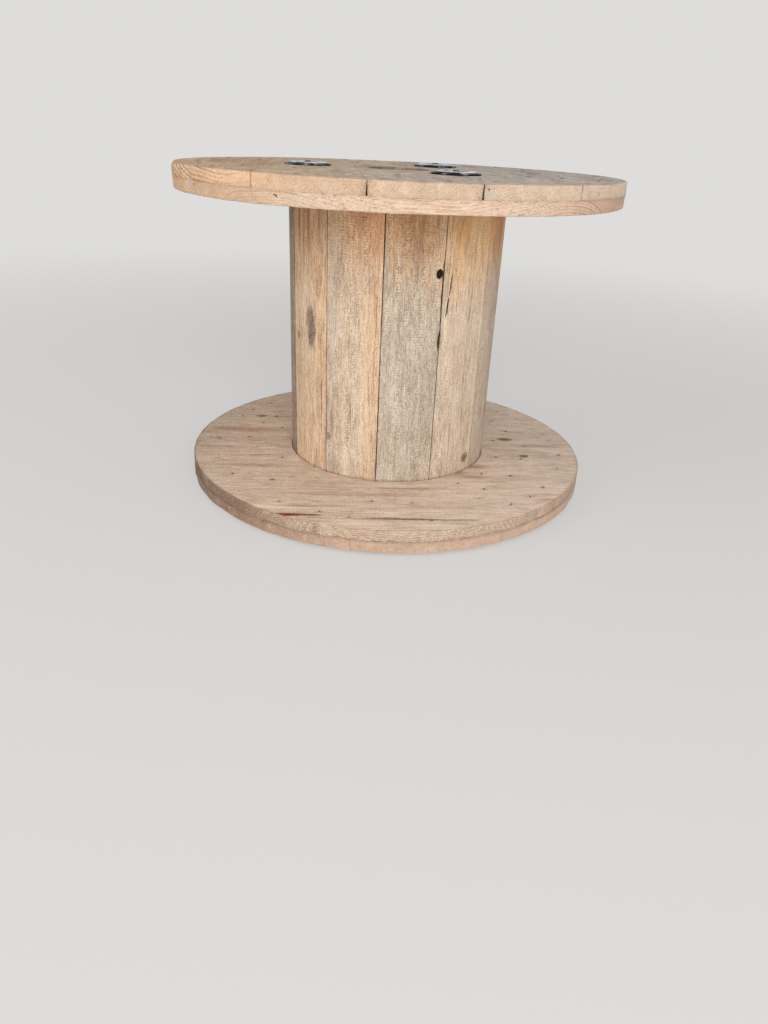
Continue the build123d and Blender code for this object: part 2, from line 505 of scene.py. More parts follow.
def zinc_plate(name, base, dull, rust, darkening_tone=(58, 54, 52)):
    """Zinc-plated steel: cloudy brightness, dull patches, rust where the plating is gone, and
    a dark tone where each piece's own mark asks for it: grime on rods, nuts and nails, painted
    shade at the washers' lips and in their cups."""
    zinc = Finish(bpy.data.materials.new(name))
    grime_and_shade_amount = zinc.parts(zinc.attribute("grime_and_shade", "Vector"))[0]
    place = zinc.node("ShaderNodeTexCoord", {}, {}, out="Object")
    clouds = zinc.noise(place, (60.0, 60.0, 60.0), 4.0).step(0.34, 0.62)
    grain = zinc.noise(place, (700.0, 700.0, 700.0), 2.0)
    worn = zinc.noise(place, (45.0, 45.0, 60.0), 4.0, 0.65).step(0.60, 0.70) * rust
    plated = zinc.mix(clouds, base, dull)
    rusted = zinc.mix(worn, plated, colour(112, 66, 38))
    # Grime darkens the plating, and on the washers painted shade does
    grimed_and_shaded = zinc.mix((grime_and_shade_amount * (0.7 + 0.6 * clouds)).held(), rusted, colour(*darkening_tone))
    roughness = 0.22 + 0.24 * clouds + 0.4 * worn + 0.25 * grime_and_shade_amount
    return zinc.surface(
        {},
        {"Base Color": grimed_and_shaded, "Roughness": roughness, "Metallic": 1 - 0.85 * worn},
        grain * 0.4 + clouds * 0.6 + worn, 0.35, 0.0004,
    )


WOOD = sawn_softwood()
WASHER_ZINC = zinc_plate(
    "bright_zinc", colour(252, 254, 255), colour(176, 186, 202), 0.35, (40, 39, 41)
)
ROD_ZINC = zinc_plate("dull_zinc", colour(150, 150, 152), colour(96, 94, 92), 0.8)
NAIL_STEEL = zinc_plate("nail_steel", colour(150, 140, 130), colour(96, 80, 68), 1.0)


# Marks left on the timber, in millimetres and degrees. A place on a flange is x and y, and
# one on the barrel is its azimuth and height. Sizes are half lengths: with the grain, across.

# Knots, and how far each pushes the rings aside. Bark pockets and dark hairlines are drawn as
# long thin ones.
KNOTS = {
    "bottom_inner": [
        (258, 50, 15, 10, 7), (287, -41, 10, 7, 5), (-172, -355, 24, 5.2, 1.5),
        (-128, -352, 22, 3.4, 1.2), (49, -351, 112, 1.1, 0.8),
        (-212, 8, 60, 0.8, 0.6), (-250, -95, 70, 0.8, 0.6), (250, -15, 40, 0.8, 0.6),
        (-120, -262, 80, 0.8, 0.6), (70, -226, 70, 0.8, 0.6),
        (-60, 290, 14, 10, 6), (-290, 130, 11, 8, 5), (120, 230, 9, 7, 5),
    ],
    "top_inner": [(-120, 310, 12, 9, 6), (205, 160, 10, 8, 5)],
    "top_outer": [(-150, 90, 15, 11, 7), (175, -205, 10, 8, 5), (40, 250, 13, 9, 6)],
    "bottom_outer": [(110, 120, 14, 10, 6), (-210, -60, 11, 9, 5)],
    "barrel": [
        (-137.3, 318, 32, 12, 7), (-150.0, 294, 8, 5, 4), (-124.0, 120, 7, 5, 4),
        (-40.0, 74, 10, 9, 6), (20.0, 380, 26, 15, 10), (72.0, 210, 18, 12, 8),
        (118.0, 430, 14, 10, 7), (-12.0, 150, 9, 7, 5), (160.0, 300, 22, 14, 9),
    ],
}
# Resin and bark stains, dirt and freshly bared wood: how strong each is comes last
BROWN_STAINS = {
    "bottom_inner": [
        (142, -142, 16, 12, 0.7), (176, -110, 30, 10, 0.6), (166, -160, 40, 8, 0.6),
        (-170, -355, 34, 6.0, 1.3), (-128, -352, 20, 4.0, 0.7),
        (-300, 42, 95, 15, 0.55), (-120, -230, 60, 26, 0.25), (90, 260, 90, 40, 0.4),
        (-230, -150, 90, 8, 0.35), (-60, -262, 120, 7, 0.35), (40, -230, 70, 5, 0.3),
        (-330, -60, 60, 7, 0.4), (250, -160, 70, 9, 0.25), (-140, -318, 70, 7, 0.4),
        (110, -300, 90, 6, 0.3), (320, 20, 50, 9, 0.35), (-20, 320, 140, 9, 0.35),
    ],
    "top_outer": [
        (95, -150, 70, 16, 0.35), (-240, -40, 120, 30, 0.3), (-330, 10, 90, 18, 0.4),
        (-60, 30, 120, 30, 0.35), (10, 180, 90, 30, 0.3), (150, 250, 60, 20, 0.3),
    ],
    "top_inner": [(-270, -285, 40, 10, 0.4), (60, 330, 80, 14, 0.4), (150, -220, 90, 10, 0.3)],
    "bottom_outer": [(60, -360, 40, 12, 0.5), (-230, 120, 90, 30, 0.4), (180, 200, 90, 16, 0.4)],
    "barrel": [
        (-148, 500, 50, 4, 0.8), (-139, 505, 60, 4, 0.75), (-131, 500, 45, 4, 0.6),
        (-143.5, 470, 60, 3, 0.5), (-106, 520, 40, 12, 0.4), (-80, 500, 70, 30, 0.4),
        (-121.5, 152, 34, 3, 0.7), (30, 120, 60, 14, 0.5), (95, 330, 70, 12, 0.5),
        (150, 480, 60, 10, 0.6), (-55, 505, 50, 20, 0.3), (-25, 500, 60, 20, 0.3),
    ],
}
STAINS = {
    "bottom_inner": [(302, -246, 14, 6, 0.3), (262, 54, 30, 5, 0.2), (49, -351, 118, 1.8, 0.8)],
    "top_outer": [
        (245, 60, 110, 22, 0.30), (215, -60, 60, 12, 0.25), (330, -40, 50, 10, 0.3),
        (60, -250, 50, 8, 0.2), (-100, -200, 60, 9, 0.2),
    ],
    "barrel": [(-118, 60, 18, 26, 0.12), (-137, 318, 44, 12, 0.22)],
}
PALE_WOOD = {
    "bottom_inner": [
        (-210, -327, 38, 5.0, 2.2), (-180, -328, 46, 2.6, 1.2), (182, -202, 20, 12, 0.9),
        (-40, -377, 80, 9, 0.5), (120, -372, 60, 9, 0.5),
    ],
    "barrel": [
        (-37.2, 300, 230, 2.2, 0.6), (-80.5, 505, 24, 2.0, 0.7), (-104, 250, 150, 12, 0.25),
        (-113, 82, 30, 13, 0.4), (-62.4, 345, 40, 2.0, 0.7),
    ],
}
# Shakes and splits: where each starts and ends, its half width and its depth
CRACKS = {
    "barrel": [
        ((-60.6, 426), (-61.2, 392), 1.3, 3.5), ((-61.6, 388), (-62.3, 352), 1.5, 3.5),
        ((-47.0, 505), (-46.6, 430), 0.6, 2.0), ((-46.8, 400), (-47.2, 330), 0.6, 2.0),
        ((-47.0, 290), (-46.6, 205), 0.5, 1.6), ((-97.5, 520), (-98.6, 180), 0.4, 1.2),
        ((-126.5, 530), (-126.8, 400), 0.5, 1.6), ((-128.6, 250), (-129.0, 110), 0.5, 1.6),
        ((33.0, 500), (34.5, 260), 0.6, 2.5), ((100.0, 420), (98.5, 120), 0.5, 2.0),
        ((165.0, 530), (163.0, 330), 0.6, 2.5),
    ],
    "top_outer": [
        ((118, -300), (128, -180), 0.6, 2.0), ((-30, -330), (-18, -160), 0.5, 1.6),
        ((-170, -290), (-158, -90), 0.6, 2.0), ((290, -190), (305, -20), 0.5, 1.6),
        ((20, 120), (34, 340), 0.6, 2.0), ((-310, 60), (-296, 220), 0.5, 1.6),
    ],
    "bottom_inner": [
        ((-320, -66), (-190, -56), 0.4, 1.2),
        ((90, -262), (230, -250), 0.4, 1.2), ((-120, 330), (60, 344), 0.6, 2.0),
        ((-250, -214), (-120, -204), 0.4, 1.0), ((230, -60), (360, -50), 0.4, 1.0),
        ((240, 100), (350, 109), 0.4, 1.2), ((-350, 60), (-230, 69), 0.4, 1.2),
        ((-40, -300), (90, -290), 0.35, 0.9),
    ],
    "top_inner": [((-150, -330), (60, -312), 0.5, 1.6)],
    "bottom_outer": [((-120, -250), (-138, 60), 0.6, 2.0), ((200, 10), (184, 260), 0.5, 1.8)],
}
# Joints that have opened: the joint's number in its ply, where along it, how long, how wide
# at the outer face and how wide at the other
OPENED = {
    "top_outer": [
        (3, 392, 22, 1.2, 3.2), (2, 394, 12, -0.2, 2.0), (4, 320, 16, 0.3, 0.0),
        (1, 320, 16, 0.0, 0.2), (2, -394, 16, 0.6, 1.8), (3, -392, 14, 1.0, 0.4),
    ],
    "bottom_outer": [(3, 396, 24, 0.4, 1.8), (2, 370, 20, 0.6, 0.3)],
    "top_inner": [(1, 300, 30, 0.4, 0.4)],
    "bottom_inner": [(4, 60, 150, 0.5, 0.3)],
}

# The colour of each plank's face, by its ply
FLANGE_COLOURS = {
    "top_outer": [
        (186, 144, 92), (198, 164, 118), (212, 186, 154), (206, 197, 184), (201, 197, 192),
    ],
    "top_inner": [
        (232, 202, 172), (224, 196, 166), (222, 194, 164), (226, 200, 170), (222, 194, 164),
    ],
    "bottom_inner": [
        (208, 178, 152), (212, 182, 156), (226, 198, 172), (236, 210, 186), (238, 210, 184),
    ],
    "bottom_outer": [
        (196, 166, 138), (206, 178, 150), (204, 178, 152), (208, 180, 154), (212, 180, 154),
        (208, 176, 148),
    ],
}
# The colour of each ply's rim at places from the left to the right of the drum, in metres
PLY_RIMS = {
    "top_outer": (
        (-0.38, (238, 198, 150)), (-0.26, (238, 200, 158)), (-0.12, (208, 178, 145)),
        (0.03, (212, 185, 156)), (0.18, (226, 203, 176)), (0.32, (240, 218, 194)),
    ),
    "top_inner": (
        (-0.36, (222, 192, 156)), (-0.12, (209, 180, 154)), (0.03, (211, 178, 150)),
        (0.18, (213, 182, 157)), (0.36, (216, 190, 166)),
    ),
    # Painted shade: the lower plies' rims darken towards the far left of the drum
    "bottom_inner": (
        (-0.38, (100, 72, 48)), (-0.26, (132, 100, 74)), (-0.08, (190, 160, 134)),
        (0.36, (196, 172, 152)),
    ),
    "bottom_outer": (
        (-0.38, (96, 66, 44)), (-0.24, (148, 114, 88)), (-0.06, (204, 172, 148)),
        (0.36, (216, 190, 170)),
    ),
}
# How each ply looks: how grey, how marked by the saw and how streaked its faces are, how strong
# its rings are, how smooth its rim is, how much shade is painted where it meets the other ply at
# the rim, and how grimy its joints are.
# Last comes how far each joint's sides lie from the frame's, in millimetres.
PLY_LOOKS = {
    "top_outer": {
        "grey": 0.75, "sawn": 0.35, "streaked": 0.16, "rings": 0.24,
        "smooth": 0.35, "ply_gap_shade": 0.15, "joint_dirt": 0.30, "joint_loss": -0.56,
    },
    "top_inner": {
        "grey": 0.06, "sawn": 0.12, "streaked": 0.05, "rings": 0.26,
        "smooth": 0.65, "ply_gap_shade": 0.15, "joint_dirt": 0.10, "joint_loss": -0.62,
    },
    "bottom_inner": {
        "grey": 0.16, "sawn": 0.35, "streaked": 0.05, "rings": 0.34,
        "smooth": 0.20, "ply_gap_shade": 0.35, "joint_dirt": 0.25, "joint_loss": -0.58,
    },
    "bottom_outer": {
        "grey": 0.30, "sawn": 0.15, "streaked": 0.05, "rings": 0.32,
        "smooth": 0.30, "ply_gap_shade": 0.35, "joint_dirt": 0.20, "joint_loss": -0.58,
    },
}
# Where the photograph shows a plank's rings bend: the heart's place across and its height, and
# how strong and how wide the rings are on those rims, beside one
HEARTS = {
    "top_outer_plank_1": (-0.265, 0.700), "top_outer_plank_2": (-0.10, 0.500),
    "top_outer_plank_3": (0.09, 0.470), "top_inner_plank_1": (-0.335, 0.475),
}
RIM_RINGS = {
    "top_outer_plank_1": 0.14, "top_outer_plank_2": 0.10, "top_outer_plank_3": 0.12,
    "top_outer_plank_4": 0.12, "top_outer_plank_5": 0.16, "top_inner_plank_1": 0.30,
    "bottom_outer_plank_3": 0.2, "bottom_outer_plank_4": 0.2,
}
RING_SCALES = {"top_outer_plank_1": 0.62}
# How much more than the rest the left end of a plank's rim has been knocked round
LEFT_END_LOSS = {"top_outer_plank_1": 6.5, "top_inner_plank_5": 1.0}
# The steps of a board's grid with and across the grain, and the closer ones of two planks, for
# the small marks on them
PLANK_GRID = (9.0, 6.2)
STAVE_GRID = (6.5, 3.4)
CLOSE_GRIDS = {"bottom_inner_plank_1": (4.0, 2.4), "bottom_inner_plank_2": (9.0, 5.0)}

# The colour of each stave below, and above where the rain doesn't reach
BARREL_COLOURS = {
    1: ((175, 161, 143), (227, 166, 88)), 2: ((209, 186, 162), (255, 200, 122)),
    3: ((193, 171, 153), (255, 182, 96)), 4: ((206, 176, 146), (200, 154, 108)),
    5: ((210, 184, 156), (204, 158, 112)), 6: ((204, 178, 150), (198, 154, 110)),
    7: ((212, 182, 150), (208, 162, 114)), 8: ((206, 184, 160), (200, 156, 112)),
    # Stave 10 stands edge-on at the far left: its darker colours are painted shade
    9: ((208, 180, 152), (202, 158, 114)), 10: ((124, 98, 72), (120, 92, 66)),
    11: ((223, 188, 147), (219, 168, 110)), 12: ((204, 178, 147), (236, 170, 100)),
}
# How each stave that the photograph shows looks beside the others: how much saw mark, grey and
# ring, and how dirty and how far from the frame's its seam with the next stave is
BARREL_SAWN = {1: 0.8, 2: 0.45, 3: 0.2, 10: 0.3, 11: 0.25, 12: 1.0}
BARREL_GREY = {1: 0.34, 2: 0.10, 3: 0.10, 10: 0.1, 11: 0.12, 12: 0.14}
BARREL_RINGS = {11: 0.34, 12: 0.22, 1: 0.20, 2: 0.22, 3: 0.24}
SEAM_DIRT = {11: 0.45, 12: 0.55, 1: 0.6, 2: 0.2, 3: 0.4, 10: 0.6}
SEAM_LOSS = {11: -0.6, 12: -0.48, 1: -0.5, 2: -0.64, 3: -0.5, 10: -0.4}
# Grey patches on the barrel, which staves are fresher towards one side, and which is greyer
GREY_PATCHES = [(-137.3, 318, 50, 15, 0.4), (-112, 90, 60, 26, 0.35), (-150, 200, 120, 14, 0.3)]
WARM_SIDES = {11: (0.35, 0.75), 12: (0.30, 0.65), 2: (0.5, 1.3)}
GREY_SIDES = {12: 0.35}
# The torn seam: for the stave on each side of it, which of its sides is torn, the height, half
# length and width of each gap, and how much is lost evenly and raggedly between them
TORN_SIDES = {
    1: (1, [(313, 20, 2.6), (375, 40, 1.1)], 0.45, 1.1),
    2: (-1, [(313, 18, 1.0)], 0.2, 0.9),
}
# Which stave's seam widens towards the top, and by how much
WIDER_TOPS = {12: 0.35}
# The open knot hole: its stave, azimuth, height, half sizes across and along, and depth
HOLED_STAVE = 1
HOLE_AZIMUTH, HOLE_HEIGHT = -67.3, 427
HOLE_ACROSS, HOLE_ALONG, HOLE_DEPTH = 6.8, 8.0, 7.0

# Joints close no further than this from the frame's, so that two boards never meet
CLOSEST = -0.66
# How far into a board a grid is pushed aside by what its side has lost
SPREAD = 0.03
# The closer grid lines along each edge lie in a strip this wide
EDGE_STRIP = 0.0035
PLANK_LAYERS = np.array([0, 0.27, 0.42, 0.58, 0.73, 1])
STAVE_LAYERS = np.array([0, 0.3, 0.6, 0.82, 1])


def write_values(mesh, name, kind, values):
    """Stores one value for each point of a mesh under that name."""
    layer = mesh.attributes.new(name, kind, "POINT")
    field = "color" if kind == "FLOAT_COLOR" else "vector"
    layer.data.foreach_set(field, np.ascontiguousarray(values, np.float32).ravel())


# How far a mark fades out beyond its half size
SPOT_REACH = 1.6


def spots(table, along, across):
    """How strongly each point lies in any of the marks: bump of its distance from the mark's
    middle, counted in the mark's own half sizes."""
    total = np.zeros(len(along))
    for middle_along, middle_across, half_along, half_across, amount in table:
        ahead, aside = (along - middle_along) / half_along, (across - middle_across) / half_across
        total = np.maximum(total, amount * bump(np.hypot(ahead, aside), SPOT_REACH))
    return total


def nearest_knot(table, along, across):
    """Each point's place seen from the nearest knot, in the knot's half sizes, and how far that
    knot pushes the rings aside, which falls to nothing at three half sizes, or at 7.5 mm from a
    thinner one."""
    best = np.full(len(along), FAR)
    seen = np.zeros((len(along), 3))
    for middle_along, middle_across, half_along, half_across, push in table:
        ahead = (along - middle_along) / half_along
        aside = (across - middle_across) / half_across
        distance = np.hypot(ahead, aside)
        near = distance < best
        best[near] = distance[near]
        limit = max(2.0, 5.0 / half_across)
        pushed = push * MM * (1 - rise(distance, limit, 1.5 * limit))
        seen[near] = np.column_stack([ahead, aside, pushed])[near]
    return seen


def groove_depth(table, along, across):
    """How deep the cracks are at each point: each is a straight groove, tapering to both ends
    and wandering a little, whose depth falls off as 1 - d^2 across it."""
    depth = np.zeros(len(along))
    for (along_1, across_1), (along_2, across_2), half, deepest in table:
        run_along, run_across = along_2 - along_1, across_2 - across_1
        length = hypot(run_along, run_across)
        ahead = (along - along_1) * run_along + (across - across_1) * run_across
        part = np.clip(ahead / length ** 2, 0, 1)
        wander = 0.6 * np.sin(part * length / 9.0) + 0.3 * np.sin(part * length / 3.1)
        off_along = along - along_1 - part * run_along
        off_across = across - across_1 - part * run_across - wander
        off = np.hypot(off_along, off_across)
        taper = np.sqrt(np.clip(4 * part * (1 - part), 0, 1))
        wide = half * (0.35 + 0.65 * taper) + 0.25
        depth = np.maximum(depth, deepest * taper * np.clip(1 - (off / wide) ** 2, 0, 1))
    return depth


def close_strips(cracks, margin, step):
    """Where a grid has closer lines for its cracks: each strip's middle, half width and step."""
    return [
        ((start[1] + end[1]) / 2 * MM, abs(start[1] - end[1]) / 2 * MM + margin * MM, step * MM)
        for start, end, _, _ in cracks
    ]


def grain_place(along, across, deep, heart, rng, offset):
    """The place of each point in its log, counted from the heart, which the grain's run-out
    carries off along the board."""
    run_across, run_deep = rng.uniform(-0.02, 0.02), rng.uniform(-0.03, 0.03)
    return np.column_stack([
        along + offset, across - heart[0] - run_across * along, deep - heart[1] - run_deep * along,
    ])


def paint_board(mesh, grain, tint, knots, ageing_and_shade, cut_marks, stain):
    """Stores what the wood finish reads at each point: its place in the log, its colour, its
    nearest knot and three threes of marks: grey, dark (grime and painted shade), sawn; end, rings,
    pale; brown, smooth."""
    tint = np.clip(tint, 0, 1)
    tint[:, 3] = 1
    write_values(mesh, "tint", "FLOAT_COLOR", tint)
    write_values(mesh, "grain", "FLOAT_VECTOR", grain)
    write_values(mesh, "knot", "FLOAT_VECTOR", knots)
    for name, three in (("ageing_and_shade", ageing_and_shade), ("cut", cut_marks), ("stain", (*stain, 0))):
        write_values(mesh, name, "FLOAT_VECTOR", np.column_stack(np.broadcast_arrays(*three)))


def fallen(edge, radius):
    """How far a face has dropped at that distance from its edge, for an edge worn round."""
    inside = np.clip(radius - edge, 0, radius)
    return radius - np.sqrt(radius ** 2 - inside ** 2)


def outermost_plan(s, t, joint):
    """Where an outermost plank's grid falls in plan, as a Coons patch: s goes along it and t from
    its joint to the rim, which is its other long side, so its corners lie part-way round."""
    def on_rim(turn):
        return np.array([FLANGE_RADIUS * np.sin(turn), FLANGE_RADIUS * np.cos(turn)])

    whole = np.arccos(joint / FLANGE_RADIUS)
    near = 0.55 * whole
    straight = np.array([(2 * s - 1) * FLANGE_RADIUS * sin(whole), np.full(len(s), joint)])
    rim = on_rim((2 * s - 1) * near)
    left, right = on_rim(-whole + t * (whole - near)), on_rim(whole - t * (whole - near))
    corners = [on_rim(turn)[:, None] for turn in (-whole, whole, -near, near)]
    blend = (1 - t) * straight + t * rim + (1 - s) * left + s * right
    blend = blend - (1 - s) * (1 - t) * corners[0] - s * (1 - t) * corners[1]
    return blend - (1 - s) * t * corners[2] - s * t * corners[3]


def plank_plan(s, t, low, high):
    """Where a plank's grid falls in plan: its joints are straight and its ends follow the rim."""
    if high > FLANGE_RADIUS - MM:
        return outermost_plan(s, t, low)
    if low < -FLANGE_RADIUS + MM:
        along, across = outermost_plan(s, 1 - t, -high)
        return along, -across
    across = low + t * (high - low)
    return (2 * s - 1) * np.sqrt(FLANGE_RADIUS ** 2 - across ** 2), across


def on_ply(table, run):
    """Marks given by x and y, turned to lie along and across the planks of a ply."""
    turn = radians(run)
    rows = []
    for row in table:
        x, y = row[:2]
        rows.append((x * cos(turn) + y * sin(turn), y * cos(turn) - x * sin(turn), *row[2:]))
    return rows


class Plank:
    """One plank of a ply: where it lies in the frame, which way it runs, and its marks."""

    def __init__(self, ply, number, run, faces_up, seed):
        self.ply, self.number, self.run, self.faces_up, self.seed = ply, number, run, faces_up, seed
        self.node = f"{ply}_plank_{number}"
        self.looks = PLY_LOOKS[ply]
        self.rng = np.random.default_rng(seed)
        turn = radians(run)
        self.ahead = np.array([cos(turn), sin(turn)])
        self.aside = np.array([-sin(turn), cos(turn)])
        corners = corners_of(self.node)
        across = corners[:, :2] @ self.aside
        self.low, self.high = across.min(), across.max()
        self.bottom, self.top = corners[:, 2].min(), corners[:, 2].max()
        self.joint_low = self.low > -FLANGE_RADIUS + MM
        self.joint_high = self.high < FLANGE_RADIUS - MM
        cracks = [(*on_ply(row[:2], run), *row[2:]) for row in CRACKS.get(ply, [])]
        self.cracks = [row for row in cracks if self.low / MM < row[0][1] < self.high / MM]

    def marks(self, table, margin=4):
        """The marks of a table that lie on this plank, or on a margin beside it."""
        low, high = self.low / MM - margin, self.high / MM + margin
        return [row for row in on_ply(table, self.run) if low < row[1] < high]

    def opened(self, number):
        """Where a joint of this plank's ply has opened."""
        return [row[1:] for row in OPENED.get(self.ply, []) if row[0] == number]


def joint_wear(plank, side, along, level, out):
    """How far one of a plank's long sides has worn back at each point: a little all along, and
    more where its joint has opened, differently at the outer face and at the other."""
    place = (along, side, level * 0.02)
    rough = ripple(place, (0.045, 1, 0.03), plank.seed + side)
    fibrous = ripple(place, (0.009, 1, 0.008), plank.seed + 5)
    loss = plank.looks["joint_loss"] + 0.20 * rough + 0.12 * fibrous
    worn = np.maximum(loss, CLOSEST) * MM
    for middle, half, at_face, at_back in plank.opened(plank.number - 1 + side):
        gape = (at_face * out + at_back * (1 - out) ** 1.6) * bump(along / MM - middle, half)
        worn += 0.5 * gape * MM
    return worn


def plank_mesh(plank, cutters):
    """A plank's grid over its outline and thickness, worn round at its edges, with its joints
    opened, its rim chipped and its faces uneven, always inwards from the size in the frame."""
    low, high, seed, rng = plank.low, plank.high, plank.seed, plank.rng
    nearest = 0 if low < 0 < high else min(abs(low), abs(high))
    reach = np.sqrt(FLANGE_RADIUS ** 2 - nearest ** 2)
    long_step, cross_step = CLOSE_GRIDS.get(plank.node, PLANK_GRID)
    lengths = ruled(-reach, reach, long_step * MM, EDGE_STRIP)
    strips = close_strips(plank.cracks, 1.5, 0.75)
    widths = ruled(low, high, cross_step * MM, EDGE_STRIP, strips)
    place, faces = shell((len(lengths), len(widths), len(PLANK_LAYERS)))
    s = (lengths[place[:, 0]] / reach + 1) / 2
    t = (widths[place[:, 1]] - low) / (high - low)
    level = PLANK_LAYERS[place[:, 2]]
    along, across = plank_plan(s, t, low, high)

    # The outline: worn joints and a chipped rim
    to_rim = FLANGE_RADIUS - np.hypot(along, across)
    to_low = across - low if plank.joint_low else np.full(len(along), FAR)
    to_high = high - across if plank.joint_high else np.full(len(along), FAR)
    edge = np.minimum(to_rim, np.minimum(to_low, to_high))
    out = level if plank.faces_up else 1 - level
    low_wear, high_wear = (joint_wear(plank, side, along, level, out) for side in (0, 1))
    across = across + low_wear * bump(to_low, SPREAD) * plank.joint_low
    across = across - high_wear * bump(to_high, SPREAD) * plank.joint_high
    chips = ripple((along, across, level * 0.02), (0.02, 0.02, 0.012), seed + 9)
    deep_chips = ripple((along, across, level * 0.01), (0.05, 0.05, 0.03), seed + 11)
    chip = (0.35 + 0.35 * chips + 2.0 * rise(deep_chips, 0.45, 0.8)) * MM
    shrink = 1 - chip * bump(to_rim, 0.012) / FLANGE_RADIUS
    along, across = along * shrink, across * shrink

    # The face that shows: rounded edges, a cupped board, waves of the saw and cracks
    uneven = ripple((along, across, level), (0.05, 0.05, 1), seed + 13)
    at_rim = 1 - rise(to_rim, 0.004, 0.006)
    x = along * plank.ahead[0] + across * plank.aside[0]
    battered = LEFT_END_LOSS.get(plank.node, 0.0) * rise(-x, 0.30, 0.385)
    rounding = (2.0 + 0.8 * uneven + 0.5 * chips) * at_rim + (0.5 + 0.3 * uneven) * (1 - at_rim)
    rounding = np.where(edge < to_rim - 0.0001, 0.45 + 0.25 * uneven, rounding)
    rounding = np.clip(rounding, 0.2, 3.2) + battered * at_rim
    cupped = rng.uniform(0.1, 0.6) * MM * ((across - (low + high) / 2) / (high - low) * 2) ** 2
    if rng.random() < 0.5:
        cupped = rng.uniform(0.1, 0.5) * MM - cupped * 0.3
    long_waves = ripple((along, across, level * 9), (0.12, 0.03, 1), seed + 17)
    grain_waves = ripple((along, across, level * 9), (0.07, 0.007, 1), seed + 19)
    relief = np.clip(cupped, 0, None) + (0.16 * (long_waves + 1) + 0.13 * (grain_waves + 1)) * MM
    relief = relief + groove_depth(plank.cracks, along / MM, across / MM) * MM * (1 - at_rim)

    inwards = -1 if plank.faces_up else 1
    seen_z, hidden_z = (plank.top, plank.bottom) if plank.faces_up else (plank.bottom, plank.top)
    seen_z = seen_z + inwards * (fallen(edge, rounding * MM) + relief)
    hidden_z = hidden_z - inwards * (fallen(edge, (0.32 + 0.15 * chips) * MM) + 0.04 * MM)
    z = hidden_z + out * (seen_z - hidden_z)
    points = np.column_stack([along[:, None] * plank.ahead + across[:, None] * plank.aside, z])
    return cut(make_mesh(plank.node, points, faces), cutters)


def plank_colour(plank, x, y, on_edge):
    """The colour of each point of a plank: its face's own, to which painted light on the upper side
    of the lower flange adds a paler right and painted shade a darker far left, and its ply's rim
    colour."""
    base = np.array(colour(*FLANGE_COLOURS[plank.ply][plank.number - 1]))
    x, y, on_edge = x[:, None], y[:, None], on_edge[:, None]
    if plank.ply == "bottom_inner":
        # Painted light pales the face to the right, and painted shade darkens it at the far left
        paler = rise(x - 0.3 * y, -0.15, 0.42)
        base = base + (np.array(colour(250, 231, 212)) - base) * paler
        base = base * (1 - 0.22 * rise(-x + 0.2 * y, 0.26, 0.42))
    stops, tones = zip(*PLY_RIMS[plank.ply])
    tones = np.array([colour(*tone) for tone in tones])
    rim = np.column_stack([np.interp(x[:, 0], stops, tone) for tone in tones.T])
    return base + (rim - base) * on_edge


def plank_grime_and_shade(plank, points, along, across, to_rim, on_edge, nails):
    """How dark each point of a plank is made: grime in its joints, most where they have opened,
    in stains and round the nails; painted shade where the plies meet at the rim; grime and painted
    shade in and round the bore; and darker in cracks."""
    z, looks = points[:, 2], plank.looks
    top, bottom, low, high = plank.top, plank.bottom, plank.low, plank.high
    seam, opened, splintered = np.zeros((3, len(along)))
    from_face = (top - z if plank.faces_up else z - bottom) / (top - bottom)
    for number, to_joint, is_joint in (
        (plank.number - 1, across - low, plank.joint_low),
        (plank.number, high - across, plank.joint_high),
    ):
        if is_joint:
            seam = np.maximum(seam, 1 - rise(to_joint, 0.0, 0.0012))
        for middle, half, at_face, at_back in plank.opened(number):
            gape = (at_face + (at_back - at_face) * from_face) / 4
            opened = np.maximum(opened, gape * bump(along / MM - middle, 1.5 * half))
            splintered = np.maximum(splintered, gape * bump(to_joint, 0.011) * on_edge)
    near_rim = 0.45 + 0.55 * (1 - rise(to_rim, 0.0, 0.03))
    grime_and_shade_amount = (looks["joint_dirt"] * near_rim + 0.6 * opened) * seam + 0.5 * splintered

    sizes = np.random.default_rng(7).uniform(0.15, 0.42, len(nails))
    holes = [(x, y, 8.0, 4.5, size) for (x, y), size in zip(nails, sizes)]
    stains = plank.marks(STAINS.get(plank.ply, [])) + plank.marks(holes, 0)
    # Grime and painted shade darken the bore's wall and a 4 mm ring round it
    in_bore = np.hypot(points[:, 0], points[:, 1]) < BORE_RADIUS + 0.004
    grime_and_shade_amount = grime_and_shade_amount + spots(stains, along / MM, across / MM) + 0.6 * in_bore
    # Painted shade where the plies meet, near the rim
    between = (z - bottom if plank.faces_up else top - z) < 0.001
    grime_and_shade_amount = grime_and_shade_amount + looks["ply_gap_shade"] * between * (1 - rise(to_rim, 0.0, 0.002))
    grime_and_shade_amount = grime_and_shade_amount + 0.7 * rise(groove_depth(plank.cracks, along / MM, across / MM), 0.1, 0.8)
    return np.clip(grime_and_shade_amount, 0, 1)


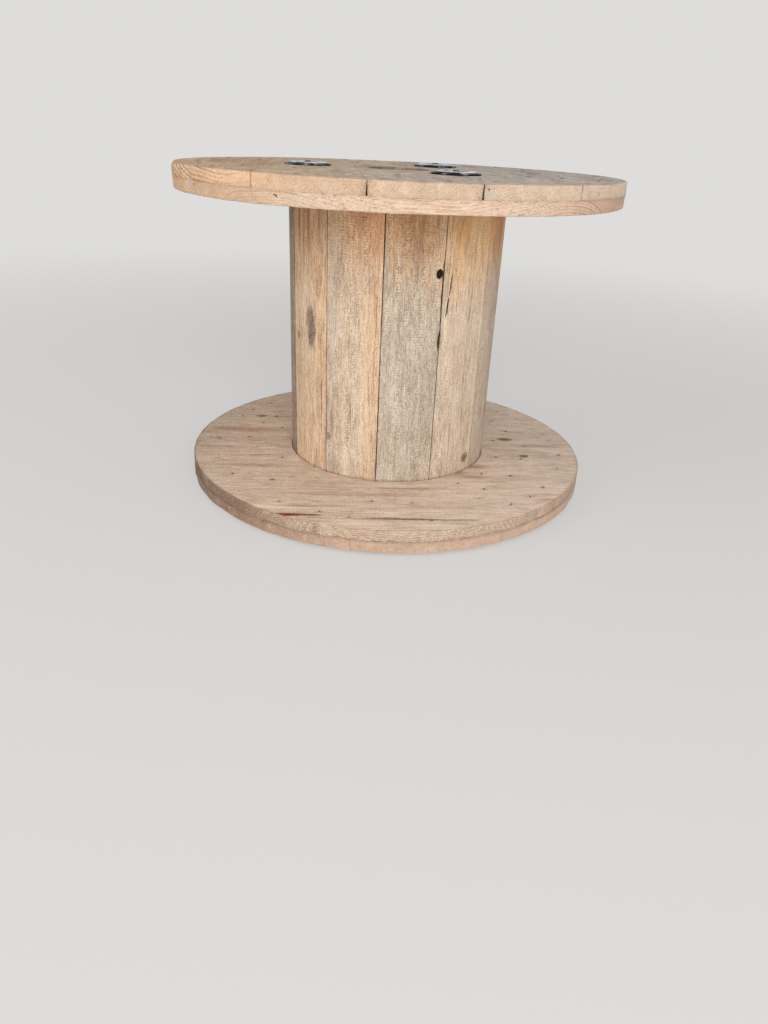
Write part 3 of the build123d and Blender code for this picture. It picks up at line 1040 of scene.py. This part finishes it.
def paint_plank(plank, mesh, nails):
    """Gives a plank its grain, colour and marks."""
    low, high, seed, rng, looks = plank.low, plank.high, plank.seed, plank.rng, plank.looks
    points = points_of(mesh)
    along, across = points[:, :2] @ plank.ahead, points[:, :2] @ plank.aside
    x, y, z = points.T
    to_rim = FLANGE_RADIUS - np.hypot(along, across)
    on_edge = 1 - rise(to_rim, 0.0015, 0.0045)
    end = on_edge * rise(np.abs(along) / FLANGE_RADIUS, 0.35, 0.7)
    knots, browns, pales = (
        plank.marks(table.get(plank.ply, [])) for table in (KNOTS, BROWN_STAINS, PALE_WOOD)
    )

    clouds = ripple(points.T, (0.12, 0.12, 0.05), seed + 23)
    streaks = ripple((along, across, 0), (0.17, 0.016, 1), seed + 29)
    varied = 1 + 0.06 * clouds + looks["streaked"] * streaks * (1 - on_edge)
    tint = plank_colour(plank, x, y, on_edge) * varied[:, None]
    grey = looks["grey"] * (1 + 0.35 * clouds) * (1 - 0.75 * on_edge)
    if plank.ply == "top_outer":
        grey = grey * (1 + 0.35 * rise(x, -0.1, 0.35)) * (0.2 + 0.8 * rise(x, -0.34, 0.06))
    dark = plank_grime_and_shade(plank, points, along, across, to_rim, on_edge, nails)

    rim_tone = RIM_RINGS.get(plank.node, looks["rings"])
    ring_tone = rim_tone * on_edge + looks["rings"] * (1 - on_edge)
    if plank.node == "top_outer_plank_1":
        ring_tone = ring_tone + 1.1 * on_edge * rise(-x, 0.20, 0.37)
    if plank.ply == "top_inner":
        ring_tone = ring_tone + 0.25 * end * rise(x, 0.2, 0.34)
    heart = (
        (low + high) / 2 + rng.uniform(-0.045, 0.045),
        (plank.bottom + plank.top) / 2 + rng.choice([-1, 1]) * rng.uniform(0.03, 0.075),
    )
    grain = grain_place(along, across, z, HEARTS.get(plank.node, heart), rng, 1.37 * seed)
    grain[:, 1:] *= RING_SCALES.get(plank.node, 1.0)
    seen = nearest_knot(knots, along / MM, across / MM)
    seen[:, 2] *= on_edge < 0.5
    brown, pale = (
        spots(marks, along / MM, across / MM) * (1 - on_edge) for marks in (browns, pales)
    )
    paint_board(
        mesh, grain, tint, seen, (grey, dark, looks["sawn"] * (1 - on_edge)),
        (end, ring_tone, pale), (brown, looks["smooth"] * on_edge),
    )


def make_plank(ply, number, run, faces_up, seed, cutters, nails):
    """One plank, shaped, cut and painted."""
    plank = Plank(ply, number, run, faces_up, seed)
    mesh = plank_mesh(plank, cutters)
    paint_plank(plank, mesh, nails)
    make_piece(f"sawn_{plank.node}", mesh, WOOD, [plank.node])


class Stave:
    """One stave of the barrel: where it stands in the frame, and its marks."""

    def __init__(self, number, seed):
        self.number, self.seed = number, seed
        self.before = (number - 2) % STAVE_COUNT + 1
        self.node = f"stave_{number:02d}"
        self.rng = np.random.default_rng(seed)
        corners = corners_of(self.node)
        middle = atan2(corners[:, 1].mean(), corners[:, 0].mean())
        self.azimuth = degrees(middle)
        self.outwards = np.array([cos(middle), sin(middle)])
        self.sideways = np.array([-sin(middle), cos(middle)])
        depth, side = corners[:, :2] @ self.outwards, corners[:, :2] @ self.sideways
        on_back = np.hypot(depth, side) > BARREL_RADIUS - 0.3 * MM
        widest = radians(180 / STAVE_COUNT) - asin(0.7 * MM / BARREL_RADIUS)
        self.back_half = max(np.arctan2(side, depth)[on_back].max(), widest)
        self.flat_half = side[depth < STAVE_FLAT + 0.3 * MM].max()
        self.foot, self.head = corners[:, 2].min(), corners[:, 2].max()
        self.arc = BARREL_RADIUS * self.back_half
        cracks = [(self.at(row[0]), self.at(row[1]), *row[2:]) for row in CRACKS["barrel"]]
        self.cracks = [row for row in cracks if self.holds(row[0][1])]

    def at(self, row):
        """A mark's row with its place as height and as distance from the stave's middle."""
        off = (row[0] - self.azimuth + 180) % 360 - 180
        return (row[1], off * pi / 180 * BARREL_RADIUS / MM, *row[2:])

    def holds(self, across):
        """Whether a place that far from the stave's middle lies on it."""
        return abs(across) < self.arc / MM + 2

    def marks(self, table):
        """The marks of a table that lie on this stave."""
        return [row for row in map(self.at, table) if self.holds(row[1])]

    def beside(self, table, t, usual):
        """A seam's value from a table, for the side of the stave that each t is on."""
        return np.where(t > 0, table.get(self.number, usual), table.get(self.before, usual))


def stave_wear(stave, t, c, z):
    """How far a stave's sides have worn back, and how far their edges are rounded: a little all
    along, and more where the photograph shows a torn or widening seam."""
    side = np.sign(t)
    rough = ripple((z, side, c), (0.05, 1, 1), stave.seed + 1)
    fibrous = ripple((z, side, c * 0.02), (0.008, 1, 0.01), stave.seed + 2)
    lost = stave.beside(SEAM_LOSS, t, -0.2) + 0.18 * rough + 0.16 * fibrous
    lost = np.maximum(lost, CLOSEST) * MM
    if stave.number in TORN_SIDES:
        torn_side, gaps, even, ragged = TORN_SIDES[stave.number]
        torn = ripple((z, 0, 0), (0.007, 1, 1), stave.seed + 8) + 0.6 * rough
        window = rise(z, 0.292, 0.306) * (1 - rise(z, 0.44, 0.46))
        gaping = sum(bump(z / MM - height, half) * wide for height, half, wide in gaps)
        gaping = gaping + window * np.clip(even + ragged * torn, 0, 2)
        lost = lost + gaping * MM * (side == torn_side)
    lost = lost + rise(z, 0.4, 0.53) * WIDER_TOPS.get(stave.number, 0.0) * MM * (t > 0)
    return lost, np.clip(0.5 + 0.4 * rough + 0.4 * fibrous, 0.2, 1.6) * MM


def make_stave(number, seed):
    """One stave on a grid over its back, its sides and its thickness: the point at t across and
    c deep lies between the flat inside (f, t w) and the round back (r cos(t a), r sin(t a))."""
    stave = Stave(number, seed)
    arc = stave.arc
    hole_across = radians(HOLE_AZIMUTH - stave.azimuth) * BARREL_RADIUS
    strips, hole_strips = close_strips(stave.cracks, 1.8, 0.5), []
    if number == HOLED_STAVE:
        strips.append((hole_across, 10 * MM, 0.8 * MM))
        hole_strips.append((HOLE_HEIGHT * MM, 13 * MM, 0.9 * MM))
    widths = ruled(-arc, arc, STAVE_GRID[1] * MM, EDGE_STRIP, strips)
    heights = ruled(stave.foot, stave.head, STAVE_GRID[0] * MM, MM, hole_strips)
    place, faces = shell((len(STAVE_LAYERS), len(widths), len(heights)))
    t = widths[place[:, 1]] / arc
    c = STAVE_LAYERS[place[:, 0]]
    z = heights[place[:, 2]]
    up, across = z / MM, t * arc / MM

    # The back: rounded edges, waves of the grain, dished knots, cracks and the knot hole
    edge = (1 - np.abs(t)) * arc
    lost, rounding = stave_wear(stave, t, c, z)
    swell = ripple((z, t * arc, c), (0.14, 0.03, 1), seed + 3)
    grooves = ripple((z, t * arc, c), (0.09, 0.006, 1), seed + 4)
    relief = (0.22 * (swell + 1) + 0.12 * (grooves + 1)) * MM
    knots = nearest_knot(stave.marks(KNOTS["barrel"]), up, across)
    from_knot = np.hypot(knots[:, 0], knots[:, 1])
    dished = 0.5 * bump(from_knot - 1.0, 0.18) + 0.25 * bump(from_knot, 0.9)
    dished = (knots[:, 2] > 0) * dished * MM
    open_depth = groove_depth(stave.cracks, up, across) * MM
    if number == HOLED_STAVE:
        off_across, off_up = across - hole_across / MM, up - HOLE_HEIGHT
        off = np.hypot(off_up / HOLE_ALONG, off_across / HOLE_ACROSS)
        open_depth = open_depth + HOLE_DEPTH * MM * (1 - rise(off, 0.75, 1.05))
    drop = np.minimum(fallen(edge, rounding) + relief + dished + open_depth, 9 * MM)

    turn = t * stave.back_half
    radius = BARREL_RADIUS - drop
    back = np.column_stack([radius * np.cos(turn), radius * np.sin(turn)])
    flat = np.column_stack([np.full(len(t), STAVE_FLAT), t * stave.flat_half])
    plan = flat + (back - flat) * c[:, None]
    plan[:, 1] -= np.sign(t) * lost * bump(edge, 0.02) * (0.3 + 0.7 * c)
    outwards, sideways = plan[:, :1] * stave.outwards, plan[:, 1:] * stave.sideways
    points = np.column_stack([outwards + sideways, z])
    mesh = make_mesh(stave.node, points, faces)
    paint_stave(stave, mesh, points, plan, t, c, edge, knots, open_depth)
    make_piece(f"bevelled_{stave.node}", mesh, WOOD, [stave.node])


def paint_stave(stave, mesh, points, plan, t, c, edge, knots, open_depth):
    """Gives a stave its grain, colour and marks. It is fresher under the upper flange and towards
    a warm side, grimy in its seams, darker at its foot, in cracks and in the knot hole, and painted
    with shade at its head."""
    number, seed, rng, z = stave.number, stave.seed, stave.rng, points[:, 2]
    up, across = z / MM, t * stave.arc / MM
    clouds = ripple(points.T, (0.08, 0.08, 0.2), seed + 6)
    streaks = ripple((z, t * stave.arc, c), (0.35, 0.012, 1), seed + 7)
    warm = rise(t, *WARM_SIDES[number]) if number in WARM_SIDES else np.zeros(len(t))
    below, above = (np.array(colour(*tone)) for tone in BARREL_COLOURS[number])
    low_down = rise(z, 0.0, 0.1) * rise(0.15 - z, 0.0, 0.1)
    upper = rise(z + 0.03 * clouds + 0.03 * streaks, 0.36, 0.52)
    upper = np.maximum(upper, 0.38 * warm * (1 - 0.5 * low_down))
    tint = below * (1 - upper[:, None]) + above * upper[:, None]
    tint = tint * (1 + 0.05 * clouds + 0.05 * streaks)[:, None]
    grey = BARREL_GREY.get(number, 0.2) * (1 + 0.4 * clouds) * (1 - 0.5 * upper)
    grey = np.maximum(grey, spots(stave.marks(GREY_PATCHES), up, across))
    grey = grey + GREY_SIDES.get(number, 0.0) * (1 - rise(t, -0.75, -0.3))

    on_side = 1 - rise(edge, 0.0002, 0.0009)
    dark = stave.beside(SEAM_DIRT, t, 0.5) * on_side
    dark = dark + spots(stave.marks(STAINS["barrel"]), up, across)
    dark = dark + 0.45 * (1 - rise(z - WINDING_FLOOR, 0.0, 0.004))
    # Painted shade just under the upper flange
    dark = dark + 0.2 * rise(z, WINDING_CEILING - 0.012, WINDING_CEILING)
    dark = np.clip(dark + 0.9 * rise(open_depth, 0.3 * MM, 1.6 * MM), 0, 1)
    sawn = BARREL_SAWN.get(number, 0.35) * (0.7 + 0.3 * streaks) * (1 - 0.8 * warm)
    brown, pale = (
        spots(stave.marks(table["barrel"]), up, across) for table in (BROWN_STAINS, PALE_WOOD)
    )
    heart = (rng.uniform(-0.03, 0.03), BARREL_RADIUS - rng.uniform(0.03, 0.07))
    grain = grain_place(z, plan[:, 1], plan[:, 0], heart, rng, 2.11 * seed)
    paint_board(
        mesh, grain, tint, knots, (grey, dark, sawn),
        (0, BARREL_RINGS.get(number, 0.26), pale), (brown, 0),
    )


# Cutters for the bore, the washers' seats, the rod holes and the staves' groove

def as_cutter(mesh):
    """A shape that only cuts: it is removed once the planks are made."""
    return placed(mesh.name, mesh)


def bar_cutter(name, radius, low, high, around, place=(0.0, 0.0)):
    """An upright round bar that only cuts."""
    turn = np.linspace(0, 2 * pi, around, endpoint=False)
    points = ring_points(np.full((2, 1), radius), turn, np.array([low, high]), (*place, 0.0))
    ends = [list(range(around))[::-1], list(range(around, 2 * around))]
    mesh = bpy.data.meshes.new(name)
    mesh.from_pydata(points.tolist(), [], ring_quads(2, around).tolist() + ends)
    return as_cutter(mesh)


# Far below and far above the drum
UNDER, OVER = -0.1, 0.8
CUP_SINK = TOP_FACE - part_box("top_cup_washers")[0].z
SEAT_RADIUS = 24.05 * MM
HOLE_RADIUS = ROD_RADIUS + 1.0 * MM
GROOVE_PLAY = 1.2 * MM

holes, top_seats, bottom_seats = [], [], []
for i, place in enumerate(ROD_PLACES):
    holes.append(bar_cutter(f"hole_{i}", HOLE_RADIUS, UNDER, OVER, 40, place))
    top_seats.append(bar_cutter(f"top_seat_{i}", SEAT_RADIUS, TOP_FACE - CUP_SINK, OVER, 72, place))
    bottom_seats.append(
        bar_cutter(f"bottom_seat_{i}", SEAT_RADIUS, UNDER, BOTTOM_FACE + CUP_SINK, 72, place)
    )
through = [bar_cutter("bore", BORE_RADIUS, UNDER, OVER, 144), *holes]
stave_foot, stave_head = (corner.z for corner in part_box("stave_01"))
groove_in, groove_out = STAVE_FLAT - GROOVE_PLAY, BARREL_RADIUS + GROOVE_PLAY
groove_profile = [
    (groove_in, stave_foot), (groove_out, stave_foot),
    (groove_out, stave_head), (groove_in, stave_head),
]
groove = as_cutter(make_mesh("groove", *turned(groove_profile, 180)))

# Nail tips seen in the photograph on the lower flange, and rings of them where it hides them
SEEN_NAILS = [
    (-58.6, -355.5), (83.2, -351.4), (-111.3, -338.5), (49.8, -287), (-22.3, -287),
    (-184.5, -305.7), (-290, -196.2), (-210.9, -215.5), (-175.7, -199.1), (-333.9, -123),
    (-266.5, -55.6), (-207.9, -108.3),
]
NAIL_RINGS = [(358, 30), (290, 22), (235, 16)]
# Bent nails in the rims: azimuth, height and length
RIM_NAILS = [
    (-141.7, 552, 3), (-115.7, 548, 9), (-96.6, 549, 3), (-74.5, 566, 3), (-72.0, 571, 2.5),
    (-31.0, 571, 4), (-90.5, 547, 2.5), (-60.5, 28, 3), (-119, 34, 3), (40, 566, 4),
    (120, 550, 4), (-98, 16, 3), (150, 36, 4), (75, 20, 4),
]


def nail_ring_places(seed, skip_from=0.0, skip_to=0.0):
    """Places in rings round the flange, each a few millimetres off, but for one stretch."""
    rng = np.random.default_rng(seed)
    places = []
    for radius, count in NAIL_RINGS:
        turn = np.arange(count) * 360 / count + rng.uniform(0, 20) + rng.uniform(-4, 4, count)
        radius = radius + rng.uniform(-6, 6, count)
        keep = ((turn % 360) < skip_from) | ((turn % 360) > skip_to)
        turn, radius = np.radians(turn[keep]), radius[keep]
        places.append(np.column_stack([radius * np.cos(turn), radius * np.sin(turn)]))
    return np.concatenate(places)


lower_places = np.concatenate([SEEN_NAILS, nail_ring_places(31, 192.0, 296.0)])
upper_places = nail_ring_places(32)
for ply, count, run, own, faces_up, first_seed, places in (
    ("top_outer", 5, TOP_RUN - 90, top_seats, True, 866, upper_places),
    ("top_inner", 5, TOP_RUN, [groove], False, 956, upper_places),
    ("bottom_inner", 5, BOTTOM_RUN, [groove], True, 1255, lower_places),
    ("bottom_outer", 6, BOTTOM_RUN - 90, bottom_seats, False, 1175, lower_places),
):
    for step in range(count):
        make_plank(ply, step + 1, run, faces_up, first_seed + step, through + own, places)
for number in range(1, STAVE_COUNT + 1):
    make_stave(number, 500 + number)
for cutter in (*through, *top_seats, *bottom_seats, groove):
    bpy.data.objects.remove(cutter)


# Steel: cup washers, nuts, rods and nails

def make_steel(name, shapes, grime_and_shade, finish, stands_for, sharp):
    """One piece of steel from several shapes, with a number at each point for its grime and painted
    shade.
    """
    points, faces = joined(shapes)
    mesh = make_mesh(name, points, faces)
    grime_and_shade = np.broadcast_to(np.asarray(grime_and_shade, float), len(points))
    write_values(mesh, "grime_and_shade", "FLOAT_VECTOR", np.column_stack([grime_and_shade, grime_and_shade, grime_and_shade]))
    make_piece(name, mesh, finish, stands_for, sharp)


def eased(corners, radius, steps=6):
    """A line through corners, each rounded by a parabola that starts the radius before it."""
    corners = np.asarray(corners, float)
    line = [corners[:1]]
    for before, corner, after in zip(corners, corners[1:], corners[2:]):
        start = corner + (before - corner) * min(0.45, radius / np.linalg.norm(before - corner))
        end = corner + (after - corner) * min(0.45, radius / np.linalg.norm(after - corner))
        part = np.linspace(0, 1, steps)[:, None]
        line.append((1 - part) ** 2 * start + 2 * part * (1 - part) * corner + part ** 2 * end)
    line.append(corners[-1:])
    return np.concatenate(line)


def sheet_profile(line, thick):
    """A pressed sheet's closed section: its middle line set off by half the sheet each way
    along the normal (-dy, dx), with both ends rounded."""
    ahead = np.gradient(line, axis=0)
    ahead = ahead / np.linalg.norm(ahead, axis=1, keepdims=True)
    normal = np.column_stack([-ahead[:, 1], ahead[:, 0]])
    half = thick / 2
    turn = np.linspace(90, -90, 6)[1:-1, None] * pi / 180
    tip = line[-1] + half * (np.sin(turn) * normal[-1] + np.cos(turn) * ahead[-1])
    tail = line[0] + half * (-np.sin(turn) * normal[0] - np.cos(turn) * ahead[0])
    return np.concatenate([line + half * normal, tip, line[::-1] - half * normal[::-1], tail])


# The middle line of a washer's sheet, and where painted shade starts and ends on it, in millimetres
WASHER_LINE = [
    (41.0, 1.0), (36.47, 1.0), (32.47, 4.0), (23.47, 4.0), (15.97, -7.0), (7.0, -7.0),
]
SHEET = 2.0 * MM
LIP_SHADE = (33.8 * MM, 35.2 * MM)
CUP_SHADE = (21.5 * MM, 24.2 * MM)
ROUND = 72

NUT_FLATS, NUT_HEIGHT, NUT_HOLE = 9.5 * MM, 10.0 * MM, 6.1 * MM
NUT_LEVELS = np.array([0.0, 0.25, 0.6, 1.1, 5.0, 8.9, 9.4, 9.75, 10.0]) * MM
NUT_COUNTERSINK = 0.9 * MM

PITCH, THREAD_DEPTH = 1.75 * MM, 0.85 * MM
THREADED, RUN_OUT_START = 30 * MM, 26 * MM


def make_washers(name, node, face, flip):
    """The cup washers of one flange: the pressed section turned round each rod."""
    line = eased(np.array(WASHER_LINE) * MM, 2.2 * MM)
    profile = sheet_profile(line, SHEET)[::-1]
    shapes = [turned(profile, ROUND, (*place, face), flip) for place in ROD_PLACES]
    radius = np.repeat(profile[:, 0], ROUND)
    # Painted shade: the lip where it meets the wood and the inside of the cup are darkened
    grime_and_shade = np.maximum(0.9 * rise(radius, *LIP_SHADE), 0.95 - 0.95 * rise(radius, *CUP_SHADE))
    make_steel(name, shapes, np.tile(grime_and_shade, len(shapes)), WASHER_ZINC, [node], 60)


def make_nuts(name, node, base, flip):
    """Hexagon nuts: the radius is the flats' half width over the cosine of the turn from the
    middle of a flat, and no more than the cone that chamfers both faces."""
    turn = np.linspace(0, 2 * pi, ROUND, endpoint=False)
    hexagon = NUT_FLATS / np.cos((turn + pi / 6) % (pi / 3) - pi / 6)
    from_face = np.minimum(NUT_LEVELS, NUT_HEIGHT - NUT_LEVELS)[:, None]
    outside = np.minimum(hexagon, NUT_FLATS * 0.98 + from_face / tan(radians(30)))
    mouth = np.full((1, ROUND), NUT_HOLE + NUT_COUNTERSINK)
    radius = np.concatenate([mouth, outside, mouth, np.full((2, ROUND), NUT_HOLE)])
    inside = [NUT_HEIGHT, NUT_HEIGHT - NUT_COUNTERSINK, NUT_COUNTERSINK]
    height = np.concatenate([[0.0], NUT_LEVELS, inside])
    quads = ring_quads(len(height), ROUND, closed=True)
    if flip:
        height, quads = -height, quads[:, ::-1]
    shapes = [
        (ring_points(radius, turn + 0.4 + number, height, (*place, base)), quads)
        for number, place in enumerate(ROD_PLACES)
    ]
    make_steel(name, shapes, 0.4, ROD_ZINC, [node], 35)


def make_rod(number, place):
    """A tie rod, threaded at both ends: over a thread the radius is r - d |2 f - 1|, with f the
    part of a turn that the point is on from the thread's crest."""
    around = 36
    threads = np.arange(0, THREADED, PITCH / 8)
    plain = np.linspace(ROD_FOOT + 34 * MM, ROD_TIP - 34 * MM, 12)
    z = np.concatenate([ROD_FOOT + threads, plain, ROD_TIP - threads[::-1]])
    turn = np.linspace(0, 2 * pi, around, endpoint=False)
    part = (z[:, None] / PITCH - turn / (2 * pi)) % 1
    from_end = np.minimum(z - ROD_FOOT, ROD_TIP - z)[:, None]
    threaded = 1 - rise(from_end, RUN_OUT_START, THREADED)
    radius = ROD_RADIUS - THREAD_DEPTH * np.abs(2 * part - 1) * threaded
    radius = np.minimum(radius, ROD_RADIUS - 1.2 * MM + from_end)
    points = ring_points(radius, turn, z, (*place, 0.0))
    middles = [(*place, ROD_FOOT), (*place, ROD_TIP)]

    # Each end is shut by quads round its middle point, two sides of the ring to a quad
    even, odd = np.arange(0, around, 2), np.arange(1, around, 2)
    last, foot = len(points) - around, np.full(around // 2, len(points))
    foot_cap = np.column_stack([foot, np.roll(even, -1), odd, even])
    tip_cap = np.column_stack([foot + 1, last + even, last + odd, last + np.roll(even, -1)])
    faces = np.concatenate([ring_quads(len(z), around), foot_cap, tip_cap])
    shape = np.concatenate([points, middles]), faces
    node = f"tie_rod_{number}"
    make_steel(f"threaded_{node}", [shape], 0.4, ROD_ZINC, [node], 50)


make_washers("top_pressed_washers", "top_cup_washers", TOP_FACE, False)
make_washers("bottom_pressed_washers", "bottom_cup_washers", BOTTOM_FACE, True)
make_nuts("top_hexagon_nuts", "top_nuts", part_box("top_nuts")[0].z, False)
make_nuts("bottom_hexagon_nuts", "bottom_nuts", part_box("bottom_nuts")[1].z, True)
for number, place in enumerate(ROD_PLACES, 1):
    make_rod(number, place)


def bar(line, aside, over, radius):
    """A six-sided bar, shut at both ends: rings of points r (cos t a + sin t b) round a line.
    Its faces look out where the line runs against a x b."""
    turn = np.linspace(0, 2 * pi, 6, endpoint=False)[:, None]
    ring = np.cos(turn) * aside[..., None, :] + np.sin(turn) * over
    points = line[:, None] + radius[:, None, None] * ring
    end = np.array([(0, 1, 2, 3), (0, 3, 4, 5)])
    other_end = end[:, ::-1] + 6 * (len(line) - 1)
    sides = ring_quads(len(line), 6)[:, [0, 3, 2, 1]]
    return points, np.concatenate([sides, end, other_end])


def make_nail_tips(name, places, face, up, seed):
    """Nail tips bent over on the wood: half-sunk bars whose middle line rises and falls as a
    sine, and whose radius narrows to the point."""
    rng = np.random.default_rng(seed)
    part = np.linspace(0, 1, 6)
    radius = 1.1 * np.sqrt(np.clip(1 - (1.9 * part - 0.9) ** 2, 0.06, 1))
    over = np.array([0, 0, up])
    rising = (np.sin(part * pi)[:, None] * 1.2 - 1.0) * over
    shapes = []
    for x, y in places:
        heading, length = rng.uniform(0, 2 * pi), rng.uniform(4.5, 11.0)
        ahead = np.array([cos(heading), sin(heading), 0])
        aside = np.array([-sin(heading), cos(heading), 0])
        points, faces = bar((part[:, None] - 0.5) * length * ahead + rising, aside, over, radius)
        points = (points + [x, y, 0]) * MM + [0, 0, face]
        shapes.append((points.reshape(-1, 3), faces[:, ::-1] if up > 0 else faces))
    make_steel(name, shapes, 0.1, NAIL_STEEL, [], 60)


def make_rim_nails(name, places, seed):
    """Bent nails and wire ends caught in the rim: thin bars along a quarter turn, half-sunk."""
    rng = np.random.default_rng(seed)
    radius = np.array([0.3, 0.8, 0.9, 0.9, 0.9, 0.7, 0.25])
    up = np.array([0, 0, 1])
    shapes = []
    for azimuth, height, length in places:
        out = np.array([cos(radians(azimuth)), sin(radians(azimuth)), 0])
        over = np.array([-out[1], out[0], 0])
        bend = np.linspace(0, rng.uniform(1.5, 3.6), len(radius))[:, None]
        line = length * 0.4 * (np.cos(bend) * over + np.sin(bend) * up) - 0.9 * out
        aside = np.cross(-np.sin(bend) * over + np.cos(bend) * up, out)
        points, faces = bar(line, aside, out, radius)
        points = points * MM + out * (FLANGE_RADIUS - 0.6 * MM) + [0, 0, height * MM]
        shapes.append((points.reshape(-1, 3), faces))
    make_steel(name, shapes, 0.9, NAIL_STEEL, [], 60)


def make_nail_heads(name, places, face, up, seed):
    """Flat round nail heads, driven just below the wood's face, with a worn edge."""
    rng = np.random.default_rng(seed)
    profile = np.array([(0.4, -1.6), (3.6, -1.6), (3.9, -0.6), (3.5, -0.1), (0.4, -0.05)])
    shapes = []
    for x, y in places:
        sunk = rng.uniform(0.0, 0.25)
        points, faces = turned(profile * MM, 12)
        points = points * [1, 1, up] + [x * MM, y * MM, face - up * sunk * MM]
        shapes.append((points, faces if up > 0 else faces[:, ::-1]))
    make_steel(name, shapes, 0.35, NAIL_STEEL, [], 60)


make_nail_tips("lower_nail_tips", lower_places, WINDING_FLOOR, 1, 33)
make_nail_tips("upper_nail_tips", upper_places, WINDING_CEILING, -1, 34)
make_rim_nails("rim_nails", RIM_NAILS, 37)
make_nail_heads("upper_nail_heads", upper_places, TOP_FACE, 1, 35)
make_nail_heads("lower_nail_heads", lower_places, BOTTOM_FACE, -1, 36)


# Studio: a pale floor, soft light and the photograph's camera

BACKGROUND = colour(222, 221, 219)
FLOOR_REACH = 24.0
# The distances from the drum between which the floor fades into the background
FADE = (0.8, 3.6)
AIM = (0, 0, 0.3)


def make_floor():
    """A wide pale floor, which isn't part of the drum. It takes the drum's shadow, and fades
    into the background with distance, so that no horizon shows."""
    points = FLOOR_REACH * np.array([(-1, -1, 0), (1, -1, 0), (1, 1, 0), (-1, 1, 0)])
    mesh = make_mesh("floor", points, np.array([[0, 1, 2, 3]]))
    floor = Finish(bpy.data.materials.new("pale_floor"))
    x, y, _ = floor.parts(floor.node("ShaderNodeTexCoord", {}, {}, out="Object"))
    distance = (x * x + y * y).root()
    fading = 0.5 + 0.5 * distance.step(*FADE)
    bare = floor.node(
        "ShaderNodeBsdfPrincipled", {}, {"Base Color": colour(214, 212, 209), "Roughness": 0.9}
    )
    glow = floor.node("ShaderNodeEmission", {}, {"Color": BACKGROUND})
    both = floor.node("ShaderNodeMixShader", {}, {0: floor.shown_rays() * fading, 1: bare, 2: glow})
    floor.node("ShaderNodeOutputMaterial", {}, {"Surface": both})
    mesh.materials.append(floor.owner)
    piece = placed("floor", mesh)


def make_lamp(name, place, size, power):
    """A large soft lamp that looks at the middle of the drum."""
    data = bpy.data.lights.new(name, "AREA")
    data.shape = "DISK"
    data.size = size
    data.energy = power
    lamp = placed(name, data)
    lamp.location = place
    lamp.rotation_euler = (Vector(place) - Vector(AIM)).to_track_quat("Z", "Y").to_euler()


def make_world():
    """Even light all round, and a pale background for what the camera or gloss sees."""
    studio = Finish(bpy.data.worlds.new("studio"))
    light = {"Color": colour(250, 250, 255), "Strength": 0.52}
    lit = studio.node("ShaderNodeBackground", {}, light)
    shown = studio.node("ShaderNodeBackground", {}, {"Color": BACKGROUND})
    both = studio.node("ShaderNodeMixShader", {}, {0: studio.shown_rays(), 1: lit, 2: shown})
    studio.node("ShaderNodeOutputWorld", {}, {"Surface": both})
    bpy.context.scene.world = studio.owner


def make_camera():
    """The photograph's camera, turned by its yaw, pitch and roll."""
    yaw, pitch, roll = (radians(turn) for turn in (CAMERA_YAW, CAMERA_PITCH, CAMERA_ROLL))
    ahead = Vector((sin(yaw) * cos(pitch), cos(yaw) * cos(pitch), -sin(pitch)))
    level = Vector((cos(yaw), -sin(yaw), 0))
    over = level.cross(ahead)
    right = level * cos(roll) + over * sin(roll)
    up = over * cos(roll) - level * sin(roll)
    data = bpy.data.cameras.new("camera")
    data.sensor_width = SENSOR
    data.lens = CAMERA_FOCAL / PHOTO_HEIGHT * SENSOR
    camera = placed("camera", data)
    turn = Matrix((right, up, -ahead)).transposed().to_4x4()
    camera.matrix_world = Matrix.Translation(CAMERA_PLACE) @ turn
    bpy.context.scene.camera = camera


make_floor()
make_world()
make_lamp("key", (0.45, -4.0, 1.8), 2.6, 125.0)
make_lamp("fill", (-3.0, -1.6, 2.4), 2.4, 30.0)
make_camera()
bpy.context.scene.view_settings.view_transform = "Standard"
